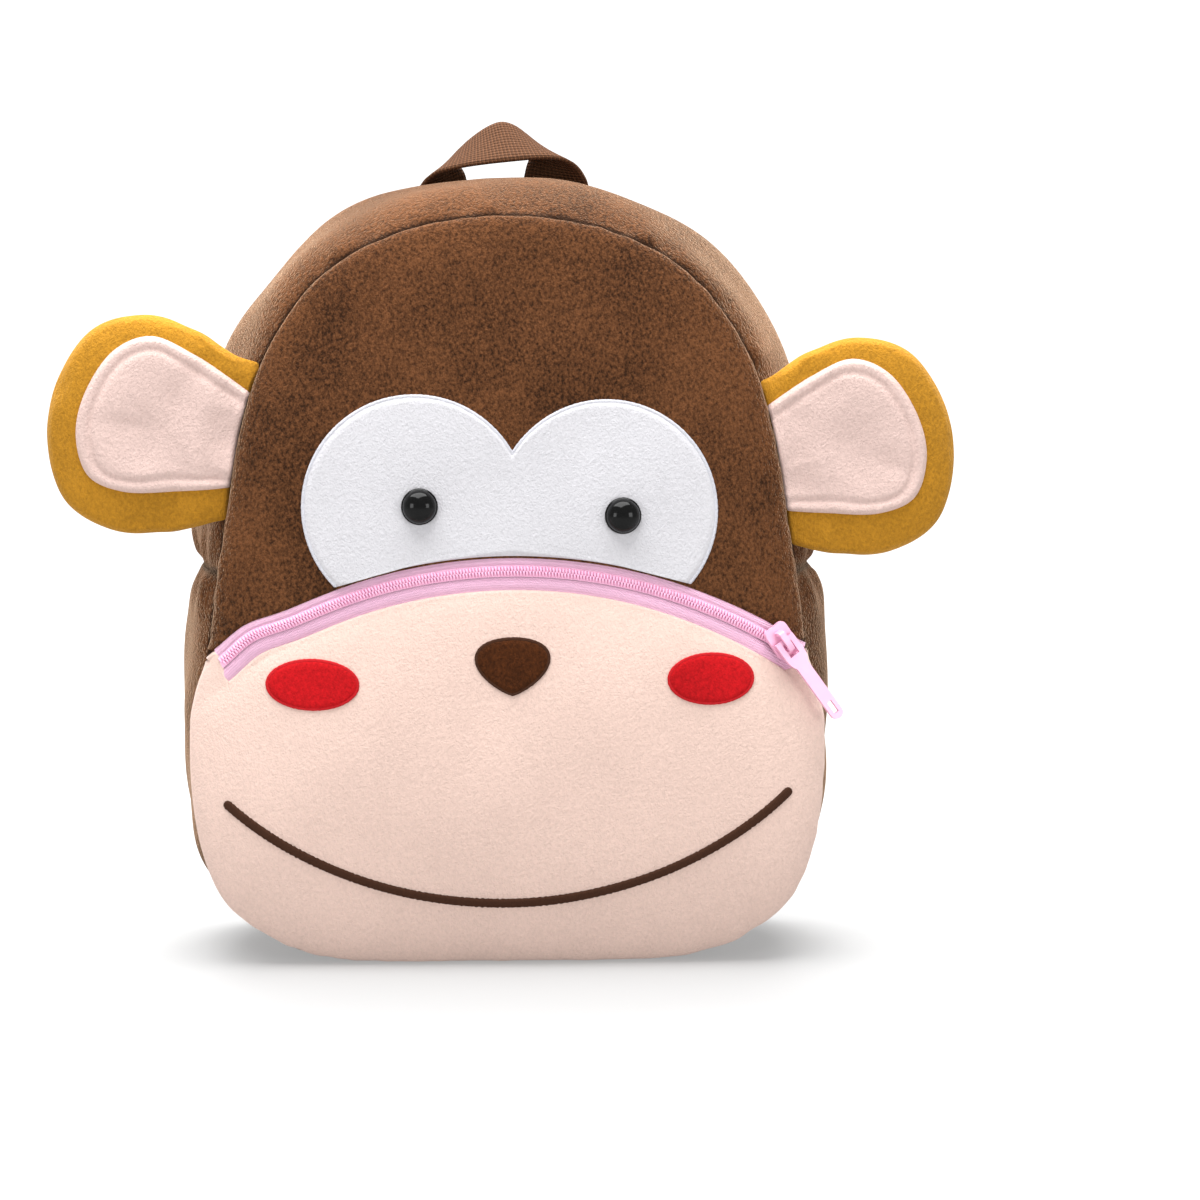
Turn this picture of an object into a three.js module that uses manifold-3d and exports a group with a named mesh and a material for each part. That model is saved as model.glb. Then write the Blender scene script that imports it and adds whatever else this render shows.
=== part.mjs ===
// Plush monkey backpack: a sewn bag with a zipped face, stuffed ears, a webbing grab loop and two padded
// shoulder straps. Millimetres, +Z up. The face looks along -Y. The origin is under the middle of the base.
import * as THREE from 'three';
import { mergeVertices } from 'three/addons/utils/BufferGeometryUtils.js';
import Module from 'manifold-3d';

const wasm = await Module();
wasm.setup();

// Cloth: foam-backed plush walls, thin felt pieces sewn on top, and the gap between neighbouring pieces.
const WALL = 3;
const FELT = 1;
const GAP = 0.3;

// The seam round the face and round the back, from the top of the bag to its base.
const SEAM = [
  { half: 0, height: 250 },
  { half: 30, height: 246.5 },
  { half: 58, height: 233.5 },
  { half: 78, height: 210.3 },
  { half: 88.5, height: 183 },
  { half: 93.5, height: 154.8 },
  { half: 96.5, height: 124.5 },
  { half: 98.5, height: 94.3 },
  { half: 99.3, height: 70 },
  { half: 97, height: 44 },
  { half: 87.3, height: 21.4 },
  { half: 70.6, height: 7.7 },
  { half: 42, height: 3 },
  { half: 0, height: 3 },
];
const BAG_MIDDLE = { x: 0, z: 125 };
const FACE_SEAM_Y = -34;
const FACE_LEAN = 0.02;
const BACK_SEAM_Y = 38;

// Face and back panels: how far the padded edge stands off its seam, and the crown of the middle.
const FACE_EDGE = { depth: 4, overhang: 1.5 };
const FACE_CROWN = { height: 12, flatness: 4, roundness: 0.5 };
const BACK_EDGE = { depth: 3.5, overhang: 1 };
const BACK_CROWN = { height: 3.5, flatness: 4, roundness: 0.5 };

// The muzzle swells forward below the zip, and its edge stands out past the gusset between these heights.
const MUZZLE_SWELL = { height: 6, reach: 112, rise: 0.75, fullness: 0.8 };
const MUZZLE_EDGE = { overhang: 6.8, none: 110, full: 84, narrows: 32, ends: 4 };

// Gusset: bulge between the two seams, gathered a little where its upper and lower strips are joined
// and drawn in at the lower corners of the bag.
const GUSSET = { bulge: 10.5, fullness: 2.2, join: 130.5, gather: 3, gatherWidth: 7 };
const GUSSET_CORNER = { pull: 4, height: 17, width: 13 };
const GUSSET_STEPS = { upper: 28, lower: 32 };

// Zip band: part of a ring whose middle lies far below the bag, and the angles at which its two ends are cut.
const ZIP = { x: 2, z: -33.6, inner: 159.7, outer: 170, lowerTape: 164.2, upperTape: 167.4 };
const ZIP_ENDS = { left: 125.8, right: 55.6 };
const ZIP_DEPTH = { tapeTop: -0.8, coilTop: 0.5, under: -2.4 };

// Sewn-on pieces of the face.
const EYE_PATCHES = [
  { x: -30.7, z: 153.3, radius: 36.5 },
  { x: 32.3, z: 151.8, radius: 36.2 },
];
const EYES = [
  { name: 'eye_left', x: -29, z: 153.8 },
  { name: 'eye_right', x: 37.6, z: 150.6 },
];
const EYE = { radius: 6, rim: 0.8, dome: 4.2, seat: 1.7 };
const CHEEKS = [
  { name: 'cheek_left', x: -64.4, z: 95.5, wide: 15.2, high: 8.1 },
  { name: 'cheek_right', x: 66.6, z: 96.9, wide: 14.2, high: 8.2 },
];
const NOSE = { x: 1.3, z: 101.3, wide: 12.4, up: 9.5, down: 9.7 };
const MOUTH = { x: -2, z: 162.1, radius: 140, thread: 1.5, left: 40.9, right: 43 };

// Ears: the stuffed outline as distance from the bag's middle plane and height, tucked into the face seam.
const EAR_OUTLINE = [
  { out: 74, up: 192 },
  { out: 90, up: 200 },
  { out: 103, up: 208 },
  { out: 119, up: 212.5 },
  { out: 136, up: 208 },
  { out: 148, up: 192 },
  { out: 151.8, up: 172 },
  { out: 146, up: 151.5 },
  { out: 131, up: 142 },
  { out: 113, up: 141 },
  { out: 96, up: 144.5 },
  { out: 80, up: 149 },
];
const EAR_PANEL = [
  { out: 76, up: 180 },
  { out: 87, up: 189 },
  { out: 103, up: 200 },
  { out: 117, up: 206 },
  { out: 129, up: 201.5 },
  { out: 139, up: 187 },
  { out: 142, up: 173 },
  { out: 138, up: 160 },
  { out: 127, up: 155 },
  { out: 108, up: 155 },
  { out: 92, up: 156 },
  { out: 80, up: 158 },
];
const EAR = { out: 112, up: 175, half: 6.5, rim: 1.4, flatness: 3, roundness: 0.55, sweep: 0.08, around: 32 };
const EAR_PINCH = { share: 0.36, reach: 16, clear: 2, forward: 0.8 };
const EARS = [
  { name: 'left', side: -1, lift: 3, reach: 0 },
  { name: 'right', side: 1, lift: -5, reach: -2.8 },
];

// Grab loop: the low front edge and the tall rear edge of one bent strip of webbing, left to middle.
const LOOP = { thick: 1.6, steps: 22 };
const LOOP_EDGES = [
  { front: [-30, 39.6, 248.3], rear: [-8.5, 39.6, 251.9] },
  { front: [-29, 35, 258], rear: [-10.5, 40.2, 262.2] },
  { front: [-22, 25, 265.5], rear: [-9, 41, 272] },
  { front: [0, 18.5, 268.4], rear: [0, 41.5, 278.2] },
];

// Shoulder straps: one row for each height, with the clear gap between the strap and the back panel.
const STRAP = [
  { height: 246, out: 24.6, half: 20, thick: 3.4, clear: 0.4 },
  { height: 241.5, out: 24.8, half: 23.6, thick: 4.4, clear: 0.5 },
  { height: 229.5, out: 25.6, half: 24, thick: 8, clear: 1.6 },
  { height: 200, out: 28, half: 24, thick: 11, clear: 9 },
  { height: 160, out: 31.6, half: 24, thick: 11.5, clear: 14.5 },
  { height: 119, out: 35.4, half: 24, thick: 11.5, clear: 14 },
  { height: 88, out: 39, half: 23.6, thick: 11, clear: 10 },
  { height: 72, out: 41.8, half: 21.2, thick: 9.6, clear: 8.4 },
  { height: 64, out: 43.6, half: 17.6, thick: 8, clear: 8 },
  { height: 58, out: 43, half: 13, thick: 5.5, clear: 8.6 },
];
const STRAP_SECTION = { around: 16, squareness: 0.6 };
const STRAP_SIDES = [
  { name: 'left', side: -1 },
  { name: 'right', side: 1 },
];

// Ladder-lock buckle and its webbing, with the bars counted from the top.
const WEBBING = { width: 25, thick: 1.4 };
const BUCKLE = { out: 43, y: 54.5, top: 52, wide: 31, high: 38, thick: 3, corner: 4, slotWide: 26 };
const BUCKLE_LIP = { side: 6, inset: 1, rise: 1.5 };
const BUCKLE_SLOTS = [
  { from: 5, to: 10 },
  { from: 14, to: 20 },
  { from: 24, to: 29.5 },
];
const TAIL = { slack: 1.2, hang: 1, sweep: 8, floor: 0.6 };
const BASE_TAB = { out: 5.5, up: 6.2, bendOut: 8.6, bendUp: 9, climb: 6 };

// Zip slider and its pull, in a frame that lies on the zip: x along the pull, z out of the cloth.
const SLIDER = { x: 89.8, z: 108.4, slope: 54, length: 11.6, wide: 8.4, plate: 1.8, above: 1.3 };
const BRIDGE = { half: 3.8, leg: 1.3, high: 4.1, inside: 2.9, corner: 0.6, wide: 2 };
const PULL = { thick: 1.5, pin: 1.5, headWide: 7.4, shoulder: 8, neck: 10, wide: 4.6, length: 31.6 };
const PULL_HOLE = { to: 5.7, wide: 3.6 };
const PULL_SLOT = { from: 25, to: 29.4, wide: 1.8 };
const PULL_REST = 6;

const FINISH = {
  brown: { color: 0x64442d, roughness: 0.95, metalness: 0 },
  peach: { color: 0xf0d6c8, roughness: 0.95, metalness: 0 },
  mustard: { color: 0xcd9623, roughness: 0.95, metalness: 0 },
  blush: { color: 0xebd2cb, roughness: 0.95, metalness: 0 },
  white: { color: 0xe6e6ec, roughness: 0.95, metalness: 0 },
  red: { color: 0xd01e20, roughness: 0.9, metalness: 0 },
  cocoa: { color: 0x482614, roughness: 0.8, metalness: 0 },
  webbing: { color: 0x4a2f20, roughness: 0.85, metalness: 0 },
  zip: { color: 0xf0a0d7, roughness: 0.6, metalness: 0 },
  pull: { color: 0xf2b4dc, roughness: 0.35, metalness: 0 },
  buckle: { color: 0x2b2a29, roughness: 0.45, metalness: 0 },
  bead: { color: 0x0b0b0c, roughness: 0.12, metalness: 0 },
};

const bag = new THREE.Group();
const { smoothstep, lerp, clamp, degToRad } = THREE.MathUtils;

// Closed bodies from points and triangles, and from three.js geometry.
function bodyOf(points, triangles) {
  const vertProperties = new Float32Array(points.flatMap((p) => [p.x, p.y, p.z]));
  const facing = (triVerts) => new wasm.Manifold(new wasm.Mesh({ numProp: 3, vertProperties, triVerts }));
  let volume = 0;
  for (let t = 0; t < triangles.length; t += 3) {
    const [a, b, c] = [points[triangles[t]], points[triangles[t + 1]], points[triangles[t + 2]]];
    volume += a.dot(new THREE.Vector3().crossVectors(b, c));
  }
  return facing(new Uint32Array(volume > 0 ? triangles : triangles.toReversed()));
}

function bodyOfGeometry(geometry) {
  geometry.deleteAttribute('normal');
  geometry.deleteAttribute('uv');
  const merged = mergeVertices(geometry, 1e-4);
  const place = merged.getAttribute('position');
  const point = (k) => new THREE.Vector3().fromBufferAttribute(place, k);
  const points = Array.from({ length: place.count }, (_, k) => point(k));
  return bodyOf(points, Array.from(merged.getIndex().array));
}

function addPiece(name, body, finish, parent = bag) {
  const mesh = body.getMesh();
  const geometry = new THREE.BufferGeometry();
  geometry.setAttribute('position', new THREE.BufferAttribute(mesh.vertProperties, 3));
  geometry.setIndex(new THREE.BufferAttribute(mesh.triVerts, 1));
  geometry.computeVertexNormals();
  const piece = new THREE.Mesh(geometry, new THREE.MeshStandardMaterial(finish));
  piece.name = name;
  parent.add(piece);
  return piece;
}

// A wall between two like grids of points, closed along its four sides.
function wallBetween(outer, inner) {
  const last = { row: outer.length - 1, column: outer[0].length - 1 };
  const inside = outer.length * outer[0].length;
  const at = (row, column) => row * outer[0].length + column;
  const triangles = [];
  const quad = (a, b, c, d) => triangles.push(a, b, c, a, c, d);
  const side = (a, b) => quad(a, b, inside + b, inside + a);
  for (let i = 0; i < last.row; i += 1) {
    for (let j = 0; j < last.column; j += 1) {
      const [a, b, c, d] = [at(i, j), at(i + 1, j), at(i + 1, j + 1), at(i, j + 1)];
      quad(a, b, c, d);
      quad(inside + a, inside + d, inside + c, inside + b);
    }
    side(at(i + 1, 0), at(i, 0));
    side(at(i, last.column), at(i + 1, last.column));
  }
  for (let j = 0; j < last.column; j += 1) {
    side(at(0, j), at(0, j + 1));
    side(at(last.row, j + 1), at(last.row, j));
  }
  return bodyOf([...outer.flat(), ...inner.flat()], triangles);
}

// A round wall between two like sets of rings, each with a middle point, closed along its rim.
function discBetween(outer, inner) {
  const around = outer.rings[0].length;
  const last = outer.rings.length - 1;
  const inside = 1 + around * outer.rings.length;
  const at = (ring, k) => 1 + ring * around + (k % around);
  const triangles = [];
  const quad = (a, b, c, d) => triangles.push(a, b, c, a, c, d);
  for (let k = 0; k < around; k += 1) {
    triangles.push(0, at(0, k), at(0, k + 1), inside, inside + at(0, k + 1), inside + at(0, k));
    for (let r = 0; r < last; r += 1) {
      const [a, b, c, d] = [at(r, k), at(r + 1, k), at(r + 1, k + 1), at(r, k + 1)];
      quad(a, b, c, d);
      quad(inside + a, inside + d, inside + c, inside + b);
    }
    quad(at(last, k), inside + at(last, k), inside + at(last, k + 1), at(last, k + 1));
  }
  const points = [outer.middle, ...outer.rings.flat(), inner.middle, ...inner.rings.flat()];
  return bodyOf(points, triangles);
}

// A form lofted through like rings of points, closed by a flat fan at each end.
function loft(rings) {
  const around = rings[0].length;
  const middle = (ring) => ring.reduce((sum, p) => sum.add(p), new THREE.Vector3()).divideScalar(around);
  const points = [...rings.flat(), middle(rings[0]), middle(rings.at(-1))];
  const [first, end] = [points.length - 2, points.length - 1];
  const at = (ring, k) => ring * around + (k % around);
  const triangles = [];
  for (let k = 0; k < around; k += 1) {
    for (let r = 0; r < rings.length - 1; r += 1) {
      triangles.push(at(r, k), at(r + 1, k), at(r + 1, k + 1), at(r, k), at(r + 1, k + 1), at(r, k + 1));
    }
    triangles.push(first, at(0, k), at(0, k + 1), end, at(rings.length - 1, k + 1), at(rings.length - 1, k));
  }
  return bodyOf(points, triangles);
}

// A front-view shape carried through the whole depth of the bag.
const DEPTH = { front: -90, back: 60 };

function through(shape, segments = 24) {
  const geometry = new THREE.ExtrudeGeometry(shape, {
    depth: DEPTH.back - DEPTH.front,
    bevelEnabled: false,
    curveSegments: segments,
  });
  geometry.rotateX(Math.PI / 2);
  geometry.translate(0, DEPTH.back, 0);
  return bodyOfGeometry(geometry);
}

function round(x, z, radius, hole = 0) {
  const shape = new THREE.Shape().absarc(x, z, radius, 0, 2 * Math.PI);
  if (hole > 0) {
    shape.holes.push(new THREE.Path().absarc(x, z, hole, 0, 2 * Math.PI));
  }
  return shape;
}

// A smooth closed outline through few points, read as a radius about its middle.
function outlineThrough(points, middle, samples = 360) {
  const corners = points.map(([x, z]) => new THREE.Vector3(x, 0, z));
  const curve = new THREE.CatmullRomCurve3(corners, true, 'centripetal');
  const line = curve.getSpacedPoints(samples).slice(0, samples);
  const polar = line.map((p) => ({
    angle: Math.atan2(p.z - middle.z, p.x - middle.x),
    radius: Math.hypot(p.x - middle.x, p.z - middle.z),
  }));
  polar.sort((a, b) => a.angle - b.angle);
  const ends = [
    { ...polar.at(-1), angle: polar.at(-1).angle - 2 * Math.PI },
    ...polar,
    { ...polar[0], angle: polar[0].angle + 2 * Math.PI },
  ];
  const radiusAt = (turn) => {
    const angle = Math.atan2(Math.sin(turn), Math.cos(turn));
    const k = ends.findIndex((p) => p.angle > angle);
    const [a, b] = [ends[k - 1], ends[k]];
    return lerp(a.radius, b.radius, (angle - a.angle) / (b.angle - a.angle));
  };
  return { line, middle, radiusAt };
}

const mirrored = SEAM.slice(1, -1).toReversed().map((p) => [-p.half, p.height]);
const seam = outlineThrough([...SEAM.map((p) => [p.half, p.height]), ...mirrored], BAG_MIDDLE);

// Padded panels: the crowned middle, the rolled edge and the seam, section by section round the bag.
const zipHeight = (x, radius) => ZIP.z + Math.sqrt(radius ** 2 - (x - ZIP.x) ** 2);

function muzzleOverhang(z) {
  const grown = 1 - smoothstep(z, MUZZLE_EDGE.full, MUZZLE_EDGE.none);
  const low = smoothstep(z, MUZZLE_EDGE.ends, MUZZLE_EDGE.narrows);
  return lerp(FACE_EDGE.overhang, MUZZLE_EDGE.overhang, grown * low);
}

function muzzleSwell(x, z) {
  const top = zipHeight(x, ZIP.inner);
  const down = clamp((top - z) / top, 0, 1);
  const across = Math.sqrt(Math.max(0, 1 - (x / MUZZLE_SWELL.reach) ** 4));
  const full = Math.sin(Math.PI * down ** MUZZLE_SWELL.rise) ** MUZZLE_SWELL.fullness;
  return MUZZLE_SWELL.height * full * across;
}

const FACE = {
  out: -1,
  edge: FACE_EDGE.depth,
  crown: FACE_CROWN,
  steps: [0.3, 0.55, 0.74, 0.87, 0.95, 1],
  seamY: (z) => FACE_SEAM_Y + FACE_LEAN * z,
  overhang: muzzleOverhang,
  swell: muzzleSwell,
};
const BACK = {
  out: 1,
  edge: BACK_EDGE.depth,
  crown: BACK_CROWN,
  steps: [0.45, 0.78, 0.94, 1],
  seamY: () => BACK_SEAM_Y,
  overhang: () => BACK_EDGE.overhang,
  swell: () => 0,
};
const ROLL_STEPS = [45, 90];
const AROUND = 48;

function edgeRadius(panel, angle) {
  const seamRadius = seam.radiusAt(angle);
  return seamRadius + panel.overhang(BAG_MIDDLE.z + seamRadius * Math.sin(angle));
}

function panelY(panel, x, z, share) {
  const { height, flatness, roundness } = panel.crown;
  const dome = height * (1 - Math.min(1, share) ** flatness) ** roundness;
  return panel.seamY(z) + panel.out * (panel.edge + dome + panel.swell(x, z));
}

const bearing = (x, z) => Math.atan2(z - BAG_MIDDLE.z, x - BAG_MIDDLE.x);

function shareOf(panel, x, z) {
  return Math.hypot(x - BAG_MIDDLE.x, z - BAG_MIDDLE.z) / edgeRadius(panel, bearing(x, z));
}

const surfaceY = (panel, x, z) => panelY(panel, x, z, shareOf(panel, x, z));

function panelSection(panel, angle) {
  const radius = edgeRadius(panel, angle);
  const overhang = radius - seam.radiusAt(angle);
  const spot = (r) => [BAG_MIDDLE.x + r * Math.cos(angle), BAG_MIDDLE.z + r * Math.sin(angle)];
  const dome = panel.steps.map((share) => {
    const r = share * radius;
    return { r, y: panelY(panel, ...spot(r), share) };
  });
  const roll = ROLL_STEPS.map((turn) => {
    const r = radius - overhang * (1 - Math.cos(degToRad(turn)));
    const depth = panel.edge * (1 - Math.sin(degToRad(turn))) + GAP / 2;
    return { r, y: panel.seamY(spot(r)[1]) + panel.out * depth };
  });
  return [...dome, ...roll];
}

// One section of the panel's skin at a stand-off from its outer face, measured square to the cloth.
function skinSection(panel, angle, off) {
  const rows = panelSection(panel, angle);
  return rows.map((row, j) => {
    const [before, after] = [rows[j - 1] ?? row, rows[j + 1]];
    const square = new THREE.Vector2(1, 0);
    if (j < panel.steps.length) {
      square.set(before.y - after.y, after.r - before.r).multiplyScalar(panel.out).normalize();
    }
    const r = row.r + off * square.x;
    const [x, z] = [BAG_MIDDLE.x + r * Math.cos(angle), BAG_MIDDLE.z + r * Math.sin(angle)];
    return new THREE.Vector3(x, row.y + off * square.y, z);
  });
}

function panelSkin(panel, off) {
  const sections = Array.from({ length: AROUND }, (_, k) => {
    return skinSection(panel, (2 * Math.PI * k) / AROUND - Math.PI, off);
  });
  const rings = sections[0].map((_, j) => sections.map((section) => section[j]));
  const middleY = panelY(panel, BAG_MIDDLE.x, BAG_MIDDLE.z, 0) + panel.out * off;
  return { middle: new THREE.Vector3(BAG_MIDDLE.x, middleY, BAG_MIDDLE.z), rings };
}

const panelLayer = (panel, top, under) => discBetween(panelSkin(panel, top), panelSkin(panel, under));

// The muzzle lies under the zip and reaches up past both of its ends to the lower edge of the face.
const ZIP_SEGMENTS = 64;

function muzzleShape() {
  const turn = GAP / ZIP.inner;
  const [right, left] = [degToRad(ZIP_ENDS.right) - turn, degToRad(ZIP_ENDS.left) + turn];
  const shape = new THREE.Shape().absarc(ZIP.x, ZIP.z, ZIP.outer - GAP, left - 2 * Math.PI, right);
  return shape.absarc(ZIP.x, ZIP.z, ZIP.inner, right, left);
}

function addFace() {
  const shell = panelLayer(FACE, 0, -WALL);
  const belowFace = through(round(ZIP.x, ZIP.z, ZIP.outer), ZIP_SEGMENTS);
  addPiece('face_panel', shell.subtract(belowFace), FINISH.brown);
  addPiece('muzzle_panel', shell.intersect(through(muzzleShape(), ZIP_SEGMENTS)), FINISH.peach);
}

// The way out of the cloth at a place on the face.
function faceNormal(x, z) {
  const step = 2;
  const slopeX = (surfaceY(FACE, x + step, z) - surfaceY(FACE, x - step, z)) / (2 * step);
  const slopeZ = (surfaceY(FACE, x, z + step) - surfaceY(FACE, x, z - step)) / (2 * step);
  return new THREE.Vector3(slopeX, -1, slopeZ).normalize();
}

// A band that follows the cloth along an arc, one column of points for each radius.
const BAND_STEPS = 24;

function arcPoints(arc, radius, from, to, off) {
  return Array.from({ length: BAND_STEPS + 1 }, (_, k) => {
    const angle = lerp(from, to, k / BAND_STEPS);
    const [x, z] = [arc.x + radius * Math.cos(angle), arc.z + radius * Math.sin(angle)];
    return new THREE.Vector3(x, surfaceY(FACE, x, z) + FACE.out * off, z);
  });
}

// A zip edge runs across the face between the zip's two ends.
function zipEdge(radius, off) {
  return arcPoints(ZIP, radius, degToRad(ZIP_ENDS.left), degToRad(ZIP_ENDS.right), off);
}

function addZipBand() {
  const { tapeTop, coilTop, under } = ZIP_DEPTH;
  const coilMiddle = (ZIP.lowerTape + ZIP.upperTape) / 2;
  const bands = {
    zip_tape_lower: [[ZIP.inner + GAP, tapeTop], [ZIP.lowerTape, tapeTop]],
    zip_coil: [[ZIP.lowerTape + GAP, tapeTop], [coilMiddle, coilTop], [ZIP.upperTape, tapeTop]],
    zip_tape_upper: [[ZIP.upperTape + GAP, tapeTop], [ZIP.outer - GAP, tapeTop]],
  };
  for (const [name, edges] of Object.entries(bands)) {
    const outer = edges.map(([radius, top]) => zipEdge(radius, top));
    const inner = edges.map(([radius]) => zipEdge(radius, under));
    addPiece(name, wallBetween(outer, inner), FINISH.zip);
  }
}

// Felt and fleece pieces lie on the face, one skin above it.
const FELT_SEGMENTS = { patch: 22, cheek: 14, nose: 6 };

function addSewnOnPieces() {
  const felt = panelLayer(FACE, GAP + FELT, GAP);
  const patches = EYE_PATCHES.map((p) => through(round(p.x, p.z, p.radius), FELT_SEGMENTS.patch));
  const aboveZip = through(round(ZIP.x, ZIP.z, ZIP.outer + FELT), ZIP_SEGMENTS);
  addPiece('eye_patch', felt.intersect(patches[0].add(patches[1])).subtract(aboveZip), FINISH.white);
  for (const cheek of CHEEKS) {
    const ellipse = new THREE.Shape().absellipse(cheek.x, cheek.z, cheek.wide, cheek.high, 0, 2 * Math.PI);
    addPiece(cheek.name, felt.intersect(through(ellipse, FELT_SEGMENTS.cheek)), FINISH.red);
  }
  addPiece('nose', felt.intersect(through(noseShape(), FELT_SEGMENTS.nose)), FINISH.cocoa);
  addPiece('mouth', mouthBody(), FINISH.cocoa);
}

// The nose is a round-topped triangle with its point down.
function noseShape() {
  const { x, z, wide, up, down } = NOSE;
  const shape = new THREE.Shape().moveTo(x, z - down);
  shape.bezierCurveTo(x - 0.3 * wide, z - 0.9 * down, x - wide, z - 0.3 * down, x - wide, z + 0.3 * up);
  shape.bezierCurveTo(x - wide, z + 0.8 * up, x - 0.5 * wide, z + up, x, z + up);
  shape.bezierCurveTo(x + 0.5 * wide, z + up, x + wide, z + 0.8 * up, x + wide, z + 0.3 * up);
  shape.bezierCurveTo(x + wide, z - 0.3 * down, x + 0.3 * wide, z - 0.9 * down, x, z - down);
  return shape;
}

// The mouth is one embroidered line along an arc.
function mouthBody() {
  const [from, to] = [degToRad(-90 - MOUTH.left), degToRad(-90 + MOUTH.right)];
  const edges = [MOUTH.radius - MOUTH.thread, MOUTH.radius + MOUTH.thread];
  const skin = (off) => edges.map((radius) => arcPoints(MOUTH, radius, from, to, off));
  return wallBetween(skin(GAP + FELT), skin(1.5 * GAP));
}

// Each eye is a moulded bead: a thin rim under a dome.
function addEyes() {
  const { radius, rim, dome } = EYE;
  const arc = Array.from({ length: 6 }, (_, k) => {
    const turn = (Math.PI / 2) * (k / 5);
    return new THREE.Vector2((radius - rim / 2) * Math.cos(turn), rim + dome * Math.sin(turn));
  });
  const foot = [new THREE.Vector2(0, 0), new THREE.Vector2(radius, 0), new THREE.Vector2(radius, rim)];
  const profile = [...foot, ...arc];
  profile.at(-1).x = 0;
  for (const eye of EYES) {
    const normal = faceNormal(eye.x, eye.z);
    const piece = addPiece(eye.name, bodyOfGeometry(new THREE.LatheGeometry(profile, 20)), FINISH.bead);
    piece.quaternion.setFromUnitVectors(new THREE.Vector3(0, 1, 0), normal);
    piece.position.set(eye.x, surfaceY(FACE, eye.x, eye.z), eye.z);
    piece.position.addScaledVector(normal, EYE.seat);
  }
}

// Gusset: two strips that bulge between the seams, flat where the bag stands.
const ACROSS = [0, 0.1, 0.27, 0.5, 0.73, 0.9, 1];

function gussetColumn(place, outward, thickness) {
  const rows = ACROSS.map((share) => {
    const pinch = GUSSET.gather * Math.exp(-(((place.z - GUSSET.join) / GUSSET.gatherWidth) ** 2));
    const away = (place.z - GUSSET_CORNER.height) / GUSSET_CORNER.width;
    const pull = GUSSET_CORNER.pull * Math.exp(-(away ** 2));
    const bulge = (GUSSET.bulge - pinch - pull) * (1 - Math.abs(2 * share - 1) ** GUSSET.fullness);
    return { o: bulge, y: lerp(FACE.seamY(place.z) + GAP / 2, BACK_SEAM_Y - GAP / 2, share) };
  });
  return rows.map((row, j) => {
    const [before, after] = [rows[j - 1], rows[j + 1]];
    const square = new THREE.Vector2(1, 0);
    if (before && after) {
      square.set(after.y - before.y, before.o - after.o).normalize();
    }
    const spot = new THREE.Vector3(place.x, row.y - thickness * square.y, place.z);
    spot.addScaledVector(outward, row.o - thickness * square.x);
    spot.z = Math.max(spot.z, thickness);
    return spot;
  });
}

function gussetStrip(from, to, steps) {
  const line = seam.line;
  const grid = (thickness) =>
    Array.from({ length: steps + 1 }, (_, k) => {
      const at = lerp(from, to, k / steps);
      const whole = Math.floor(at);
      const point = (n) => line[((n % line.length) + line.length) % line.length];
      const place = new THREE.Vector3().lerpVectors(point(whole), point(whole + 1), at - whole);
      const along = new THREE.Vector3().subVectors(point(whole + 4), point(whole - 3)).normalize();
      return gussetColumn(place, new THREE.Vector3(-along.z, 0, along.x), thickness);
    });
  return wallBetween(grid(0), grid(WALL));
}

function addGusset() {
  const count = seam.line.length;
  const right = seam.line.findIndex((p) => p.z < GUSSET.join);
  const left = count - right;
  const step = seam.line[1].distanceTo(seam.line[0]);
  const gap = GAP / step;
  const upper = gussetStrip(left - count + gap / 2, right - gap / 2, GUSSET_STEPS.upper);
  const lower = gussetStrip(right + gap / 2, left - gap / 2, GUSSET_STEPS.lower);
  addPiece('gusset_upper', upper, FINISH.brown);
  addPiece('gusset_lower', lower, FINISH.brown);
}

// Stuffed ears, pinched where they are sewn into the face seam, each with a fleece panel on its front.
function earLayers(ear, outline, front, back) {
  const spots = [0, 0.5, 0.8, 0.94, 1].map((share) =>
    Array.from({ length: share ? EAR.around : 1 }, (_, k) => {
      const angle = (2 * Math.PI * k) / EAR.around - Math.PI;
      const r = share * outline.radiusAt(angle);
      return { share, out: EAR.out + r * Math.cos(angle), up: EAR.up + r * Math.sin(angle) };
    }),
  );
  const layer = (way, off) => {
    const place = (spot) => earPoint(ear, spot, way, off);
    const rings = spots.map((ring) => ring.map(place));
    return { middle: rings[0][0], rings: rings.slice(1) };
  };
  return discBetween(layer(-1, front), layer(1, back));
}

function earPoint(ear, { share, out, up }, way, off) {
  const [x, z] = [out + ear.reach, up + ear.lift];
  const beyond = Math.max(0, x - seamHalf(z));
  const pinch = lerp(EAR_PINCH.share, 1, smoothstep(beyond, 0, EAR_PINCH.reach));
  const puff = (EAR.half - EAR.rim) * (1 - share ** EAR.flatness) ** EAR.roundness;
  const middle = FACE.seamY(z) - EAR_PINCH.forward + EAR.sweep * beyond;
  const y = middle + way * ((EAR.rim + puff) * pinch + off);
  return new THREE.Vector3(ear.side * x, y, z);
}

function seamHalf(height) {
  const k = SEAM.findIndex((p) => p.height < height);
  const [a, b] = [SEAM[Math.max(k - 1, 0)], SEAM[Math.max(k, 1)]];
  return lerp(a.half, b.half, (a.height - height) / (a.height - b.height));
}

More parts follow.
